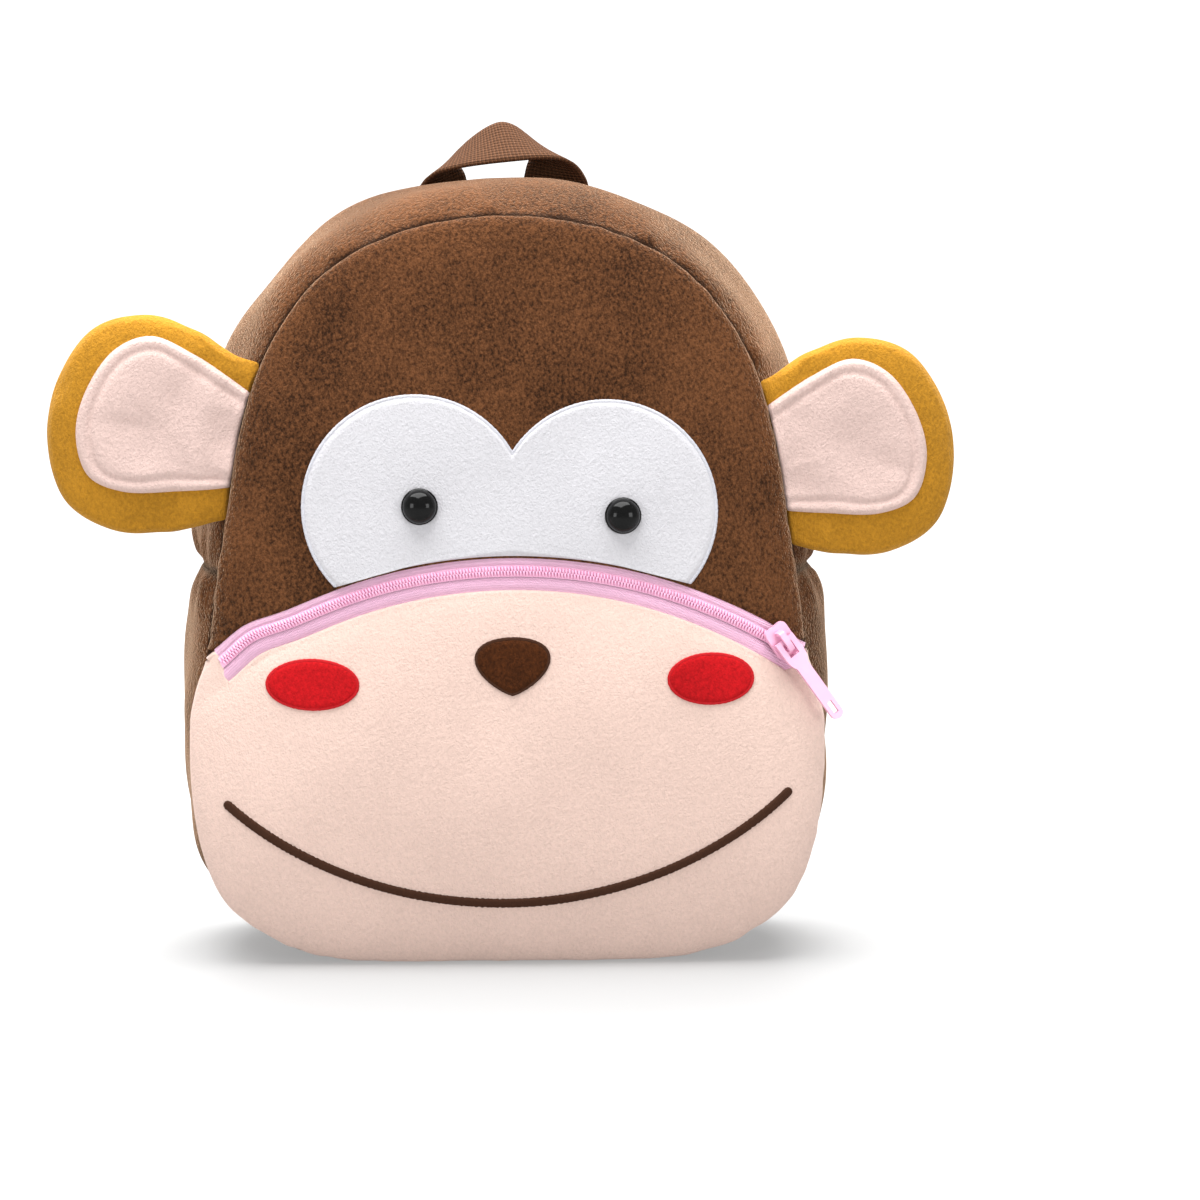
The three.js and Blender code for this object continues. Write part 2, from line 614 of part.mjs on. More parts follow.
function addEars() {
  const middle = { x: EAR.out, z: EAR.up };
  const outline = outlineThrough(EAR_OUTLINE.map((p) => [p.out, p.up]), middle);
  const bagShape = new THREE.Shape(seam.line.filter((_, k) => k % 3 === 0).map((p) => {
    const outward = new THREE.Vector2(p.x - BAG_MIDDLE.x, p.z - BAG_MIDDLE.z);
    outward.setLength(outward.length() + EAR_PINCH.clear);
    return outward.add(new THREE.Vector2(BAG_MIDDLE.x, BAG_MIDDLE.z));
  }));
  const bagSide = through(bagShape);
  for (const ear of EARS) {
    const panel = new THREE.Shape(
      outlineThrough(EAR_PANEL.map((p) => [p.out, p.up]), middle, 32).line.map(
        (p) => new THREE.Vector2(ear.side * (p.x + ear.reach), p.z + ear.lift),
      ),
    );
    const stuffed = earLayers(ear, outline, 0, 0);
    const fleece = earLayers(ear, outline, GAP + FELT, 0).subtract(earLayers(ear, outline, GAP, WALL));
    addPiece(`ear_${ear.name}`, stuffed.subtract(bagSide), FINISH.mustard);
    addPiece(`ear_panel_${ear.name}`, fleece.intersect(through(panel)).subtract(bagSide), FINISH.blush);
  }
}

// Grab loop: a ruled strip between its two edges, the same to the left and to the right.
function addGrabLoop() {
  const half = LOOP_EDGES.map((row) => ({ front: [...row.front], rear: [...row.rear] }));
  const other = half.slice(0, -1).toReversed().map((row) => ({
    front: [-row.front[0], row.front[1], row.front[2]],
    rear: [-row.rear[0], row.rear[1], row.rear[2]],
  }));
  const rows = [...half, ...other];
  const edge = (name) => new THREE.CatmullRomCurve3(rows.map((row) => new THREE.Vector3(...row[name])));
  const [front, rear] = [edge('front'), edge('rear')];
  const face = (way) =>
    Array.from({ length: LOOP.steps + 1 }, (_, k) => {
      const t = k / LOOP.steps;
      const [a, b] = [front.getPoint(t), rear.getPoint(t)];
      const along = front.getTangent(t).add(rear.getTangent(t));
      const square = new THREE.Vector3().crossVectors(along, b.clone().sub(a)).normalize();
      return [0, 0.33, 0.67, 1].map((share) =>
        a.clone().lerp(b, share).addScaledVector(square, (way * LOOP.thick) / 2),
      );
    });
  addPiece('grab_loop', wallBetween(face(1), face(-1)), FINISH.webbing);
}

// Padded shoulder straps, lofted through flat slices.
function strapRing(row, side) {
  const { around, squareness } = STRAP_SECTION;
  const x = side * row.out;
  const behind = [-row.half, 0, row.half].map((across) => surfaceY(BACK, x + across, row.height));
  const y = Math.max(...behind) + row.clear + row.thick / 2;
  return Array.from({ length: around }, (_, k) => {
    const angle = (2 * Math.PI * k) / around;
    const bulge = (v) => Math.sign(v) * Math.abs(v) ** squareness;
    const across = row.half * bulge(Math.cos(angle));
    return new THREE.Vector3(x + across, y + (row.thick / 2) * bulge(Math.sin(angle)), row.height);
  });
}

// Webbing bent along a route in the Y Z plane, straight across its width.
function webbingAlong(route) {
  const half = WEBBING.thick / 2;
  const points = route.map(([y, z]) => new THREE.Vector2(y, z));
  const squares = points.slice(1).map((p, k) => {
    return new THREE.Vector2(points[k].y - p.y, p.x - points[k].x).normalize();
  });
  const mitres = points.map((_, k) => {
    const [before, after] = [squares[k - 1] ?? squares[k], squares[k] ?? squares[k - 1]];
    const mitre = before.clone().add(after).normalize();
    return mitre.multiplyScalar(half / mitre.dot(before));
  });
  const left = points.map((p, k) => p.clone().add(mitres[k]));
  const right = points.map((p, k) => p.clone().sub(mitres[k]));
  const strip = new THREE.ExtrudeGeometry(new THREE.Shape([...left, ...right.toReversed()]), {
    depth: WEBBING.width,
    bevelEnabled: false,
  });
  strip.translate(0, 0, -WEBBING.width / 2);
  const [across, depth, up] = [0, 1, 2].map((axis) => new THREE.Vector3().setComponent(axis, 1));
  strip.applyMatrix4(new THREE.Matrix4().makeBasis(depth, up, across));
  return bodyOfGeometry(strip);
}

// Heights of the buckle's bars, and the three depths at which webbing runs past them.
const barZ = (slot, edge) => BUCKLE.top - BUCKLE_SLOTS[slot][edge];
const lay = BUCKLE.thick / 2 + GAP + WEBBING.thick / 2;
const RUN = {
  outside: BUCKLE.y + lay,
  inside: BUCKLE.y - lay,
  behind: BUCKLE.y - lay - WEBBING.thick - GAP,
};
const clear = GAP + WEBBING.thick / 2;

// The short tab comes down behind the top bar, goes round the first ladder bar and ends behind it.
function tabRoute() {
  const strapEnd = STRAP.at(-1);
  return [
    [RUN.inside, strapEnd.height - GAP],
    [RUN.inside, barZ(0, 'from') - clear],
    [RUN.outside, barZ(0, 'to') + clear],
    [RUN.outside, barZ(1, 'from') - clear],
    [RUN.inside, barZ(1, 'from') - clear],
    [RUN.inside, barZ(0, 'to') - clear],
  ];
}

// The lower webbing leaves the base seam, climbs to the second bar, goes over it and hangs to the floor.
function lowerRoute() {
  const low = BUCKLE.top - BUCKLE.high;
  return [
    [BACK_SEAM_Y + BASE_TAB.out, BASE_TAB.up],
    [BACK_SEAM_Y + BASE_TAB.bendOut, BASE_TAB.bendUp],
    [RUN.behind, low + BASE_TAB.climb],
    [RUN.behind, barZ(1, 'to') + clear],
    [RUN.outside, barZ(1, 'to') + clear],
    [RUN.outside, barZ(2, 'from') - clear],
    [RUN.inside, barZ(2, 'from') - clear - TAIL.slack],
    [RUN.inside, low - TAIL.hang],
    [RUN.inside + 0.3 * TAIL.sweep, 0.3 * low],
    [RUN.inside + TAIL.sweep, TAIL.floor + WEBBING.thick / 2],
  ];
}

function buckleShape() {
  const { wide, high, corner, slotWide } = BUCKLE;
  const { side, inset, rise } = BUCKLE_LIP;
  const shape = new THREE.Shape().moveTo(-wide / 2 + corner, 0);
  shape.lineTo(wide / 2 - corner, 0);
  shape.quadraticCurveTo(wide / 2, 0, wide / 2, -corner);
  shape.lineTo(wide / 2, side - high);
  shape.quadraticCurveTo(wide / 2 - inset, rise - high, wide / 4, -high);
  shape.lineTo(-wide / 4, -high);
  shape.quadraticCurveTo(inset - wide / 2, rise - high, -wide / 2, side - high);
  shape.lineTo(-wide / 2, -corner);
  shape.quadraticCurveTo(-wide / 2, 0, -wide / 2 + corner, 0);
  for (const slot of BUCKLE_SLOTS) {
    const hole = new THREE.Path().moveTo(-slotWide / 2, -slot.from);
    hole.lineTo(-slotWide / 2, -slot.to);
    hole.lineTo(slotWide / 2, -slot.to);
    hole.lineTo(slotWide / 2, -slot.from);
    hole.closePath();
    shape.holes.push(hole);
  }
  return shape;
}

function addStraps() {
  for (const { name, side } of STRAP_SIDES) {
    addPiece(`strap_${name}`, loft(STRAP.map((row) => strapRing(row, side))), FINISH.mustard);
    const plate = new THREE.ExtrudeGeometry(buckleShape(), {
      depth: BUCKLE.thick,
      bevelEnabled: false,
      curveSegments: 6,
    });
    plate.rotateX(Math.PI / 2);
    const buckle = addPiece(`buckle_${name}`, bodyOfGeometry(plate), FINISH.buckle);
    buckle.position.set(side * BUCKLE.out, BUCKLE.y + BUCKLE.thick / 2, BUCKLE.top);
    const tab = addPiece(`strap_tab_${name}`, webbingAlong(tabRoute()), FINISH.webbing);
    tab.position.x = side * BUCKLE.out;
    const webbing = addPiece(`strap_webbing_${name}`, webbingAlong(lowerRoute()), FINISH.webbing);
    webbing.position.x = side * BUCKLE.out;
  }
}

// Zip slider with its bridge, and the pull whose end bar turns under that bridge.
function extruded(shape, depth) {
  return new THREE.ExtrudeGeometry(shape, { depth, bevelEnabled: false, curveSegments: 5 });
}

function sliderBody() {
  const { length, wide, plate } = SLIDER;
  const outline = new THREE.Shape().moveTo(-length / 2, -0.3 * wide);
  outline.quadraticCurveTo(-length / 2, -wide / 2, -0.3 * length, -wide / 2);
  outline.lineTo(0.3 * length, -wide / 2);
  outline.quadraticCurveTo(length / 2, -wide / 2, length / 2, -0.2 * wide);
  outline.lineTo(length / 2, 0.2 * wide);
  outline.quadraticCurveTo(length / 2, wide / 2, 0.3 * length, wide / 2);
  outline.lineTo(-0.3 * length, wide / 2);
  outline.quadraticCurveTo(-length / 2, wide / 2, -length / 2, 0.3 * wide);
  const base = bodyOfGeometry(extruded(outline, plate));
  const sunk = plate / 2;
  const arch = new THREE.Shape().moveTo(-BRIDGE.half, plate - sunk);
  arch.lineTo(-BRIDGE.half, plate + BRIDGE.inside);
  arch.quadraticCurveTo(-BRIDGE.half, plate + BRIDGE.high, 0, plate + BRIDGE.high);
  arch.quadraticCurveTo(BRIDGE.half, plate + BRIDGE.high, BRIDGE.half, plate + BRIDGE.inside);
  arch.lineTo(BRIDGE.half, plate - sunk);
  const leg = BRIDGE.half - BRIDGE.leg;
  const window = new THREE.Path().moveTo(-leg, plate);
  window.lineTo(leg, plate);
  window.lineTo(leg, plate + BRIDGE.inside - BRIDGE.corner);
  window.quadraticCurveTo(leg, plate + BRIDGE.inside, 0, plate + BRIDGE.inside);
  window.quadraticCurveTo(-leg, plate + BRIDGE.inside, -leg, plate + BRIDGE.inside - BRIDGE.corner);
  arch.holes.push(window);
  const bridge = extruded(arch, BRIDGE.wide);
  bridge.rotateX(Math.PI / 2);
  bridge.translate(0, BRIDGE.wide / 2, 0);
  return base.add(bodyOfGeometry(bridge));
}

function pullBody() {
  const { pin, headWide, shoulder, neck, wide, length, thick } = PULL;
  const shape = new THREE.Shape().moveTo(-pin / 2, -headWide / 2);
  shape.lineTo(PULL_HOLE.to, -headWide / 2);
  shape.quadraticCurveTo(shoulder, -headWide / 2, neck, -wide / 2);
  shape.lineTo(length - wide / 2, -wide / 2);
  shape.absarc(length - wide / 2, 0, wide / 2, -Math.PI / 2, Math.PI / 2);
  shape.lineTo(neck, wide / 2);
  shape.quadraticCurveTo(shoulder, headWide / 2, PULL_HOLE.to, headWide / 2);
  shape.lineTo(-pin / 2, headWide / 2);
  const openings = [
    { ...PULL_HOLE, from: pin / 2 },
    PULL_SLOT,
  ];
  for (const opening of openings) {
    const path = new THREE.Path().moveTo(opening.from, -opening.wide / 2);
    path.lineTo(opening.from, opening.wide / 2);
    path.lineTo(opening.to, opening.wide / 2);
    path.lineTo(opening.to, -opening.wide / 2);
    path.closePath();
    shape.holes.push(path);
  }
  const plate = extruded(shape, thick);
  plate.translate(0, 0, -thick / 2);
  return bodyOfGeometry(plate);
}

function addSlider() {
  const normal = faceNormal(SLIDER.x, SLIDER.z);
  const slope = degToRad(SLIDER.slope);
  const down = new THREE.Vector3(Math.cos(slope), 0, -Math.sin(slope));
  const along = down.addScaledVector(normal, -down.dot(normal)).normalize();
  const across = new THREE.Vector3().crossVectors(normal, along);
  const carriage = new THREE.Group();
  carriage.quaternion.setFromRotationMatrix(new THREE.Matrix4().makeBasis(along, across, normal));
  carriage.position.set(SLIDER.x, surfaceY(FACE, SLIDER.x, SLIDER.z), SLIDER.z);
  carriage.position.addScaledVector(normal, SLIDER.above);
  bag.add(carriage);
  addPiece('zip_slider', sliderBody(), FINISH.pull, carriage);
  const pull = addPiece('zip_pull', pullBody(), FINISH.pull, carriage);
  pull.position.z = SLIDER.plate + BRIDGE.inside / 2;
  pull.rotation.y = degToRad(-PULL_REST);
}

addFace();
addZipBand();
addSewnOnPieces();
addEyes();
addGusset();
addPiece('back_panel', panelLayer(BACK, 0, -WALL), FINISH.brown);
addEars();
addGrabLoop();
addStraps();
addSlider();

export default bag;
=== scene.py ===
import math

import bpy
import numpy as np
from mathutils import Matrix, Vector
from mathutils.bvhtree import BVHTree


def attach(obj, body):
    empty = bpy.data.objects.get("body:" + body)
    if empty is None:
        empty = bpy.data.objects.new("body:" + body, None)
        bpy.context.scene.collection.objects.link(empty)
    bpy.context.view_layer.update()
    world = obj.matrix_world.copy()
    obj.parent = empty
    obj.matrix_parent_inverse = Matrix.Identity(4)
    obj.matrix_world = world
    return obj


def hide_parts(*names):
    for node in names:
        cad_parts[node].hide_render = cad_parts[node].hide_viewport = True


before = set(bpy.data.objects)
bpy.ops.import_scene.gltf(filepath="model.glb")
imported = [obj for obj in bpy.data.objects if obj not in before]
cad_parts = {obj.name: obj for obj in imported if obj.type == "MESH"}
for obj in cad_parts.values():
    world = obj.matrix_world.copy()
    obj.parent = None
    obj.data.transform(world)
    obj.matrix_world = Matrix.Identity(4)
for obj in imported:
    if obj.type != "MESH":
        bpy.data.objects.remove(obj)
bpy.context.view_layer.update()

# Camera
# A long lens stands a little above the bag and looks straight at its face.
# The bag stands left of the middle of the picture, so the camera is turned a little past it.
stand = Vector((-0.025, -1.447, 0.2849))
TURN, DIP = 0.0394, 0.1153
look = Vector((math.sin(TURN) * math.cos(DIP), math.cos(TURN) * math.cos(DIP), -math.sin(DIP)))
lens = bpy.data.cameras.new("camera")
lens.sensor_width = 36
lens.lens = 128.6
camera = bpy.data.objects.new("camera", lens)
camera.location = stand
camera.rotation_euler = look.to_track_quat("-Z", "Y").to_euler()
bpy.context.scene.collection.objects.link(camera)
bpy.context.scene.camera = camera

# Studio
# The bag stands on white paper that curves up into a wall all round, lit until it is white behind the bag.
# One wide soft box hangs over the bag, two weak ones stand in front of it, and one lights the paper behind it.
bpy.context.scene.view_settings.view_transform = "Standard"
bpy.context.scene.view_settings.look = "None"
bpy.context.scene.cycles.max_bounces = 5


def node_material(name, **sockets):
    """A new material with the given numbers and colours on its shader, and its node tree."""
    material = bpy.data.materials.new(name)
    material.use_nodes = True
    for socket, value in sockets.items():
        material.node_tree.nodes["Principled BSDF"].inputs[socket.replace("_", " ")].default_value = value
    return material, material.node_tree


FLOOR_REACH, WALL_BEND, WALL_TOP, PAPER_SIDES = 1.6, 1.4, 5.0, 96
bend = np.radians(np.linspace(0, 90, 25))
paper_line = [
    (0.02, 0.0),
    *zip(FLOOR_REACH + WALL_BEND * np.sin(bend), WALL_BEND - WALL_BEND * np.cos(bend)),
    (FLOOR_REACH + WALL_BEND, WALL_TOP),
]
paper_turn = np.linspace(0, 2 * math.pi, PAPER_SIDES, endpoint=False)
paper_points = [
    (float(r * np.cos(t)), float(r * np.sin(t)), float(z)) for r, z in paper_line for t in paper_turn
]
paper_faces = [list(range(PAPER_SIDES))]
for ring in range(len(paper_line) - 1):
    for k in range(PAPER_SIDES):
        a, b = ring * PAPER_SIDES + k, ring * PAPER_SIDES + (k + 1) % PAPER_SIDES
        paper_faces.append((a, a + PAPER_SIDES, b + PAPER_SIDES, b))
sweep_mesh = bpy.data.meshes.new("studio_paper")
sweep_mesh.from_pydata(paper_points, [], paper_faces)
sweep_mesh.polygons.foreach_set("use_smooth", [True] * len(paper_faces))
sweep = bpy.data.objects.new("studio_paper", sweep_mesh)
bpy.context.scene.collection.objects.link(sweep)
paper, _ = node_material(
    "studio_paper",
    Base_Color=(0.25, 0.25, 0.25, 1),
    Roughness=0.95,
    Specular_IOR_Level=0.05,
    Emission_Color=(1, 1, 1, 1),
    Emission_Strength=0.33,
)
sweep_mesh.materials.append(paper)

world = bpy.data.worlds.new("studio_air")
world.use_nodes = True
world.node_tree.nodes["Background"].inputs["Color"].default_value = (1, 1, 1, 1)
world.node_tree.nodes["Background"].inputs["Strength"].default_value = 0.12
bpy.context.scene.world = world

soft_boxes = [
    ("over_box", (-0.1, -0.08, 1.35), (0, 0, 0.15), 1.4, 58),
    ("left_box", (-1.0, -1.1, 0.3), (0, 0, 0.05), 0.5, 5.2),
    ("right_box", (1.0, -1.1, 0.3), (0, 0, 0.05), 0.5, 5.2),
    ("paper_box", (0, 1.5, 2.3), (0, 2.4, 0.3), 2.0, 170),
]
for name, hung_at, aimed_at, size, power in soft_boxes:
    lamp = bpy.data.lights.new(name, "AREA")
    lamp.size = size
    lamp.energy = power
    holder = bpy.data.objects.new(name, lamp)
    holder.location = hung_at
    holder.rotation_euler = (Vector(aimed_at) - holder.location).to_track_quat("-Z", "Y").to_euler()
    holder.visible_camera = False
    bpy.context.scene.collection.objects.link(holder)

# Seam line
# Face, gusset and back are sewn together along one outline, a little smaller at the front round the face.
# Sizes from here on are in millimetres, and each piece is turned into metres when its mesh is made.
SEAM = [
    (0, 250), (30, 246.5), (58, 233.5), (78, 210.3), (88.5, 183), (93.5, 154.8), (96.5, 124.5),
    (98.5, 94.3), (99.3, 70), (97, 44), (87.3, 21.4), (70.6, 7.7), (42, 3), (0, 3),
]
MIDDLE = np.array([0.0, 125.0])
FACE_SEAM, FACE_LEAN, BACK_SEAM = -34.0, 0.02, 38.0
SEAM_STEPS, SEAM_SOFT = 1440, 18
FRONT_INSET, INSET_FROM, INSET_FULL = 2.6, 100, 165


def smooth_loop(points, count):
    """An evenly stepped closed curve through a few points."""
    p = np.array(points, float)
    n = len(p)
    spans = []
    for k in range(n):
        a, b, c, d = p[k - 1], p[k], p[(k + 1) % n], p[(k + 2) % n]
        ab, bc, cd = (max(np.linalg.norm(v), 1e-6) ** 0.5 for v in (b - a, c - b, d - c))
        out = ((b - a) / ab - (c - a) / (ab + bc) + (c - b) / bc) * bc
        into = ((c - b) / bc - (d - b) / (bc + cd) + (d - c) / cd) * bc
        t = np.linspace(0, 1, 40, endpoint=False)[:, None]
        spans.append(
            (2 * t**3 - 3 * t**2 + 1) * b + (t**3 - 2 * t**2 + t) * out
            + (3 * t**2 - 2 * t**3) * c + (t**3 - t**2) * into
        )
    fine = np.vstack([*spans, spans[0][:1]])
    return even_steps(fine, count + 1)[:-1]


def distance_along(line):
    return np.concatenate([[0], np.cumsum(np.linalg.norm(np.diff(line, axis=0), axis=1))])


def even_steps(line, count):
    along = distance_along(line)
    steps = np.linspace(0, along[-1], count)
    return np.stack([np.interp(steps, along, line[:, k]) for k in range(line.shape[1])], axis=1)


def spoke(middle, reach, angle):
    """The x and z of a point at a reach and angle from a middle point."""
    return middle[0] + reach * np.cos(angle), middle[1] + reach * np.sin(angle)


def reach_about(loop, middle):
    """The distance from a middle point to a loop round it, read at any angle."""
    away = loop - middle
    angles = np.arctan2(away[:, 1], away[:, 0])
    order = np.argsort(angles)
    radii = np.hypot(away[:, 0], away[:, 1])[order]
    return lambda angle: np.interp(angle, angles[order], radii, period=2 * math.pi)


seam_loop = smooth_loop(SEAM + [(-x, z) for x, z in SEAM[-2:0:-1]], SEAM_STEPS)
for _ in range(2):
    near = [np.roll(seam_loop, k, axis=0) for k in range(-SEAM_SOFT, SEAM_SOFT + 1)]
    seam_loop = sum(near) / len(near)
seam_reach = reach_about(seam_loop, MIDDLE)


def ease(low, high, value):
    t = np.clip((value - low) / (high - low), 0, 1)
    return t * t * (3 - 2 * t)


def front_inset(z):
    """How much smaller the front seam is than the back one: a little round the face, not at the muzzle."""
    return FRONT_INSET * ease(INSET_FROM, INSET_FULL, z)


def front_reach(angle):
    seam = seam_reach(angle)
    return seam - front_inset(MIDDLE[1] + seam * np.sin(angle))


def ripple(x, z, span, seed, waves=10):
    """Soft uneven hollows and rises about one span apart, between about -1 and 1."""
    pick = np.random.default_rng(seed)
    total = 0
    for way, phase, stretch in zip(
        pick.uniform(0, math.pi, waves), pick.uniform(0, 6.3, waves), pick.uniform(0.7, 1.6, waves)
    ):
        total = total + np.sin(6.283 * (x * math.cos(way) + z * math.sin(way)) / (span * stretch) + phase)
    return total / math.sqrt(waves)


def mesh_piece(name, points, faces, material, uv=None, seam_shade=None):
    """One object of the bag from points in millimetres. Seam shade is the painted shade each point gets in a
    seam.
    """
    mesh = bpy.data.meshes.new(name)
    mesh.from_pydata((np.asarray(points) * 0.001).tolist(), [], faces)
    mesh.polygons.foreach_set("use_smooth", [True] * len(mesh.polygons))
    if uv is not None:
        layer = mesh.uv_layers.new(name="weave")
        corner = np.zeros(len(mesh.loops), np.int32)
        mesh.loops.foreach_get("vertex_index", corner)
        layer.data.foreach_set("uv", np.asarray(uv, np.float32).reshape(-1, 2)[corner].ravel())
    # Painted shade: kept on each point for the plush material to darken its colour by.
    if seam_shade is not None:
        depths = mesh.attributes.new("seam_shade", "FLOAT", "POINT")
        depths.data.foreach_set("value", np.ravel(seam_shade).astype(np.float32))
    mesh.materials.append(material)
    piece = bpy.data.objects.new(name, mesh)
    bpy.context.scene.collection.objects.link(piece)
    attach(piece, "bag")
    return piece


def sewn_mesh(name, grid, material, slot, around=False, flip=False, uv=None, shut=(), seam_shade=None):
    """A piece from a grid of points, joined round when it is a ring, and shut at its first or last row."""
    rows, columns = grid.shape[:2]
    i, j = np.meshgrid(np.arange(rows - 1), np.arange(columns if around else columns - 1), indexing="ij")
    after = (j + 1) % columns
    here, below = i * columns, (i + 1) * columns
    faces = np.stack([here + j, here + after, below + after, below + j], -1).reshape(-1, 4).tolist()
    if "first" in shut:
        faces.append(list(range(columns))[::-1])
    if "last" in shut:
        faces.append([(rows - 1) * columns + k for k in range(columns)])
    if flip:
        faces = [face[::-1] for face in faces]
    return mesh_piece(name, grid.reshape(-1, 3), faces, material, uv, seam_shade)


def lift_off(grid, height, around=False):
    """Moves each point of a grid square to the cloth by its own height."""
    if around:
        wide = np.concatenate([grid[:, -1:], grid, grid[:, :1]], axis=1)
        across = (wide[:, 2:] - wide[:, :-2]) / 2
    else:
        across = np.gradient(grid, axis=1)
    square = np.cross(np.gradient(grid, axis=0), across)
    length = np.linalg.norm(square, axis=2, keepdims=True)
    return grid + square / np.maximum(length, 1e-9) * height[:, :, None]


# Face panel
# The upper front of the head: brown short-pile plush on foam, crowned in the middle.
# Its edge is rolled over into the seam, and its lower edge is folded along the zip.
ZIP_X, ZIP_Z, ZIP_LOW, ZIP_HIGH = 2.0, -33.6, 159.7, 170.0
EDGE_DEPTH, CROWN, SEAM_GAP = 4.0, 12.0, 0.15
FACE_PAST, MUZZLE_PAST, MUZZLE_SIDE = 1.0, 2.0, 3.8
MUZZLE_SHOULDER, MUZZLE_FOOT = (84, 110), (4, 32)
MUZZLE_SWELL, MUZZLE_HALF = 6.0, 112.0
SLACK, FRONT_SLACK_SPAN = 0.6, 62
ZIP_RISE, ZIP_RISE_AT, ZIP_RISE_REACH = 2.2, math.radians(121), math.radians(3.4)
FOLD_BACK = ((1.3, 4.0), (1.3, 2.2), (1.3, 1.2), (1.15, 0.65), (0.85, 0.28), (0.42, 0.07))
SEAM_TUCKS = (1.2, 3.0)
# Painted shade on the last rows of a panel, rising to full where it goes into the seam.
SEAM_SHADE_STEPS = (0.1, 0.3, 0.6, 0.9, 1, 1, 1)
PANEL_COLUMNS, PANEL_ROWS = 420, 120


def grain(tree, scale, detail=2, rough=0.5, at=None):
    """Uneven spots of about one size, read from the place on the piece."""
    noise = tree.nodes.new("ShaderNodeTexNoise")
    for socket, value in (("Scale", scale), ("Detail", detail), ("Roughness", rough)):
        noise.inputs[socket].default_value = value
    if at is None:
        at = tree.nodes.new("ShaderNodeTexCoord").outputs["Object"]
    tree.links.new(at, noise.inputs["Vector"])
    return noise.outputs["Fac"]


def arithmetic(tree, kind, *values):
    """One step of arithmetic on numbers and on other steps."""
    step = tree.nodes.new("ShaderNodeMath")
    step.operation = kind
    for socket, value in zip(step.inputs, values):
        if isinstance(value, (int, float)):
            socket.default_value = value
        else:
            tree.links.new(value, socket)
    return step.outputs[0]


def tint(tree, value, low, high, between=()):
    """Colours the surface by a value, from a low to a high colour and through any others between them."""
    ramp = tree.nodes.new("ShaderNodeValToRGB")
    stops = ramp.color_ramp.elements
    stops[0].color, stops[1].color = (*low, 1), (*high, 1)
    for place, colour in between:
        stops.new(place).color = (*colour, 1)
    tree.links.new(value, ramp.inputs["Fac"])
    tree.links.new(ramp.outputs["Color"], tree.nodes["Principled BSDF"].inputs["Base Color"])


def relief(tree, height, strength, depth):
    """Raises and sinks the surface by a height."""
    bump = tree.nodes.new("ShaderNodeBump")
    bump.inputs["Strength"].default_value = strength
    bump.inputs["Distance"].default_value = depth
    tree.links.new(height, bump.inputs["Height"])
    tree.links.new(bump.outputs["Normal"], tree.nodes["Principled BSDF"].inputs["Normal"])


def scaled(colour, by):
    return [min(1, c * by) for c in colour]


PATCH_GRAIN, TUFT_GRAIN, FIBRE_GRAIN = (30, 2, 0.6), (1000, 2, 0.7), (1900, 1, 0.5)
TUFT_GAP = 0.2


def plush(name, colour, sheen, mottle, pile, sheen_weight, sheen_rough=0.5):
    """Short-pile plush: brushed patches, tufts with darker gaps, fine fibre tips, a soft light rim and painted
    shade in its seams.
    """
    material, tree = node_material(
        name,
        Roughness=0.95,
        Specular_IOR_Level=0.1,
        Sheen_Weight=sheen_weight,
        Sheen_Roughness=sheen_rough,
        Sheen_Tint=(*sheen, 1),
    )
    lying = tree.nodes.new("ShaderNodeMapping")
    lying.inputs["Scale"].default_value = (1, 1, 0.75)
    lying.inputs["Rotation"].default_value = (0, 0.3, 0)
    tree.links.new(tree.nodes.new("ShaderNodeTexCoord").outputs["Object"], lying.inputs["Vector"])
    grains = (PATCH_GRAIN, TUFT_GRAIN, FIBRE_GRAIN)
    patch, tuft, fibre = (grain(tree, *kind, at=lying.outputs["Vector"]) for kind in grains)
    # Painted shade: the seam shade stored on each point darkens the plush down to a quarter of its colour in
    # the seams.
    seam_shade_node = tree.nodes.new("ShaderNodeAttribute")
    seam_shade_node.attribute_name = "seam_shade"
    tone = arithmetic(tree, "MULTIPLY_ADD", patch, 0.9, -0.85)
    tone = arithmetic(tree, "MAXIMUM", arithmetic(tree, "MULTIPLY_ADD", tuft, 2.0, tone), TUFT_GAP)
    tone = arithmetic(tree, "MULTIPLY_ADD", seam_shade_node.outputs["Fac"], -1.3, tone)
    gap = scaled(colour, 1 - mottle)
    tint(tree, tone, scaled(colour, 0.25), scaled(colour, 1 + mottle), [(TUFT_GAP, gap)])
    relief(tree, arithmetic(tree, "MULTIPLY_ADD", fibre, 0.6, tuft), 0.9, pile)
    return material


brown_plush = plush(
    "brown_plush",
    (0.082, 0.0315, 0.0117),
    (0.78, 0.54, 0.36),
    mottle=0.7,
    pile=0.0008,
    sheen_weight=0.85,
    sheen_rough=0.3,
)


def bearing(x, z):
    return np.arctan2(z - MIDDLE[1], x - MIDDLE[0])


def from_middle(x, z):
    return np.hypot(x - MIDDLE[0], z - MIDDLE[1])


def face_edge(angle):
    """The reach of the rolled edge of the front: a little past the seam at the face, more at the muzzle."""
    seam = front_reach(angle)
    z = MIDDLE[1] + seam * np.sin(angle)
    muzzle = MUZZLE_PAST + MUZZLE_SIDE * ease(*MUZZLE_FOOT, z)
    return seam + FACE_PAST + (1 - ease(*MUZZLE_SHOULDER, z)) * muzzle


def face_seam_y(z):
    return FACE_SEAM + FACE_LEAN * z


def muzzle_swell(x, z):
    """How far the muzzle stands out past the dome of the face, fullest below the middle of the zip."""
    top = ZIP_Z + np.sqrt(ZIP_LOW**2 - (x - ZIP_X) ** 2)
    down = np.clip((top - z) / top, 0, 1)
    down = down**2 / (down + 1e-9 + 0.06 * ease(80, 92, np.abs(x)))
    across = np.sqrt(np.maximum(0, 1 - (x / MUZZLE_HALF) ** 4))
    return MUZZLE_SWELL * np.maximum(0, np.sin(math.pi * down**0.75)) ** 0.8 * across


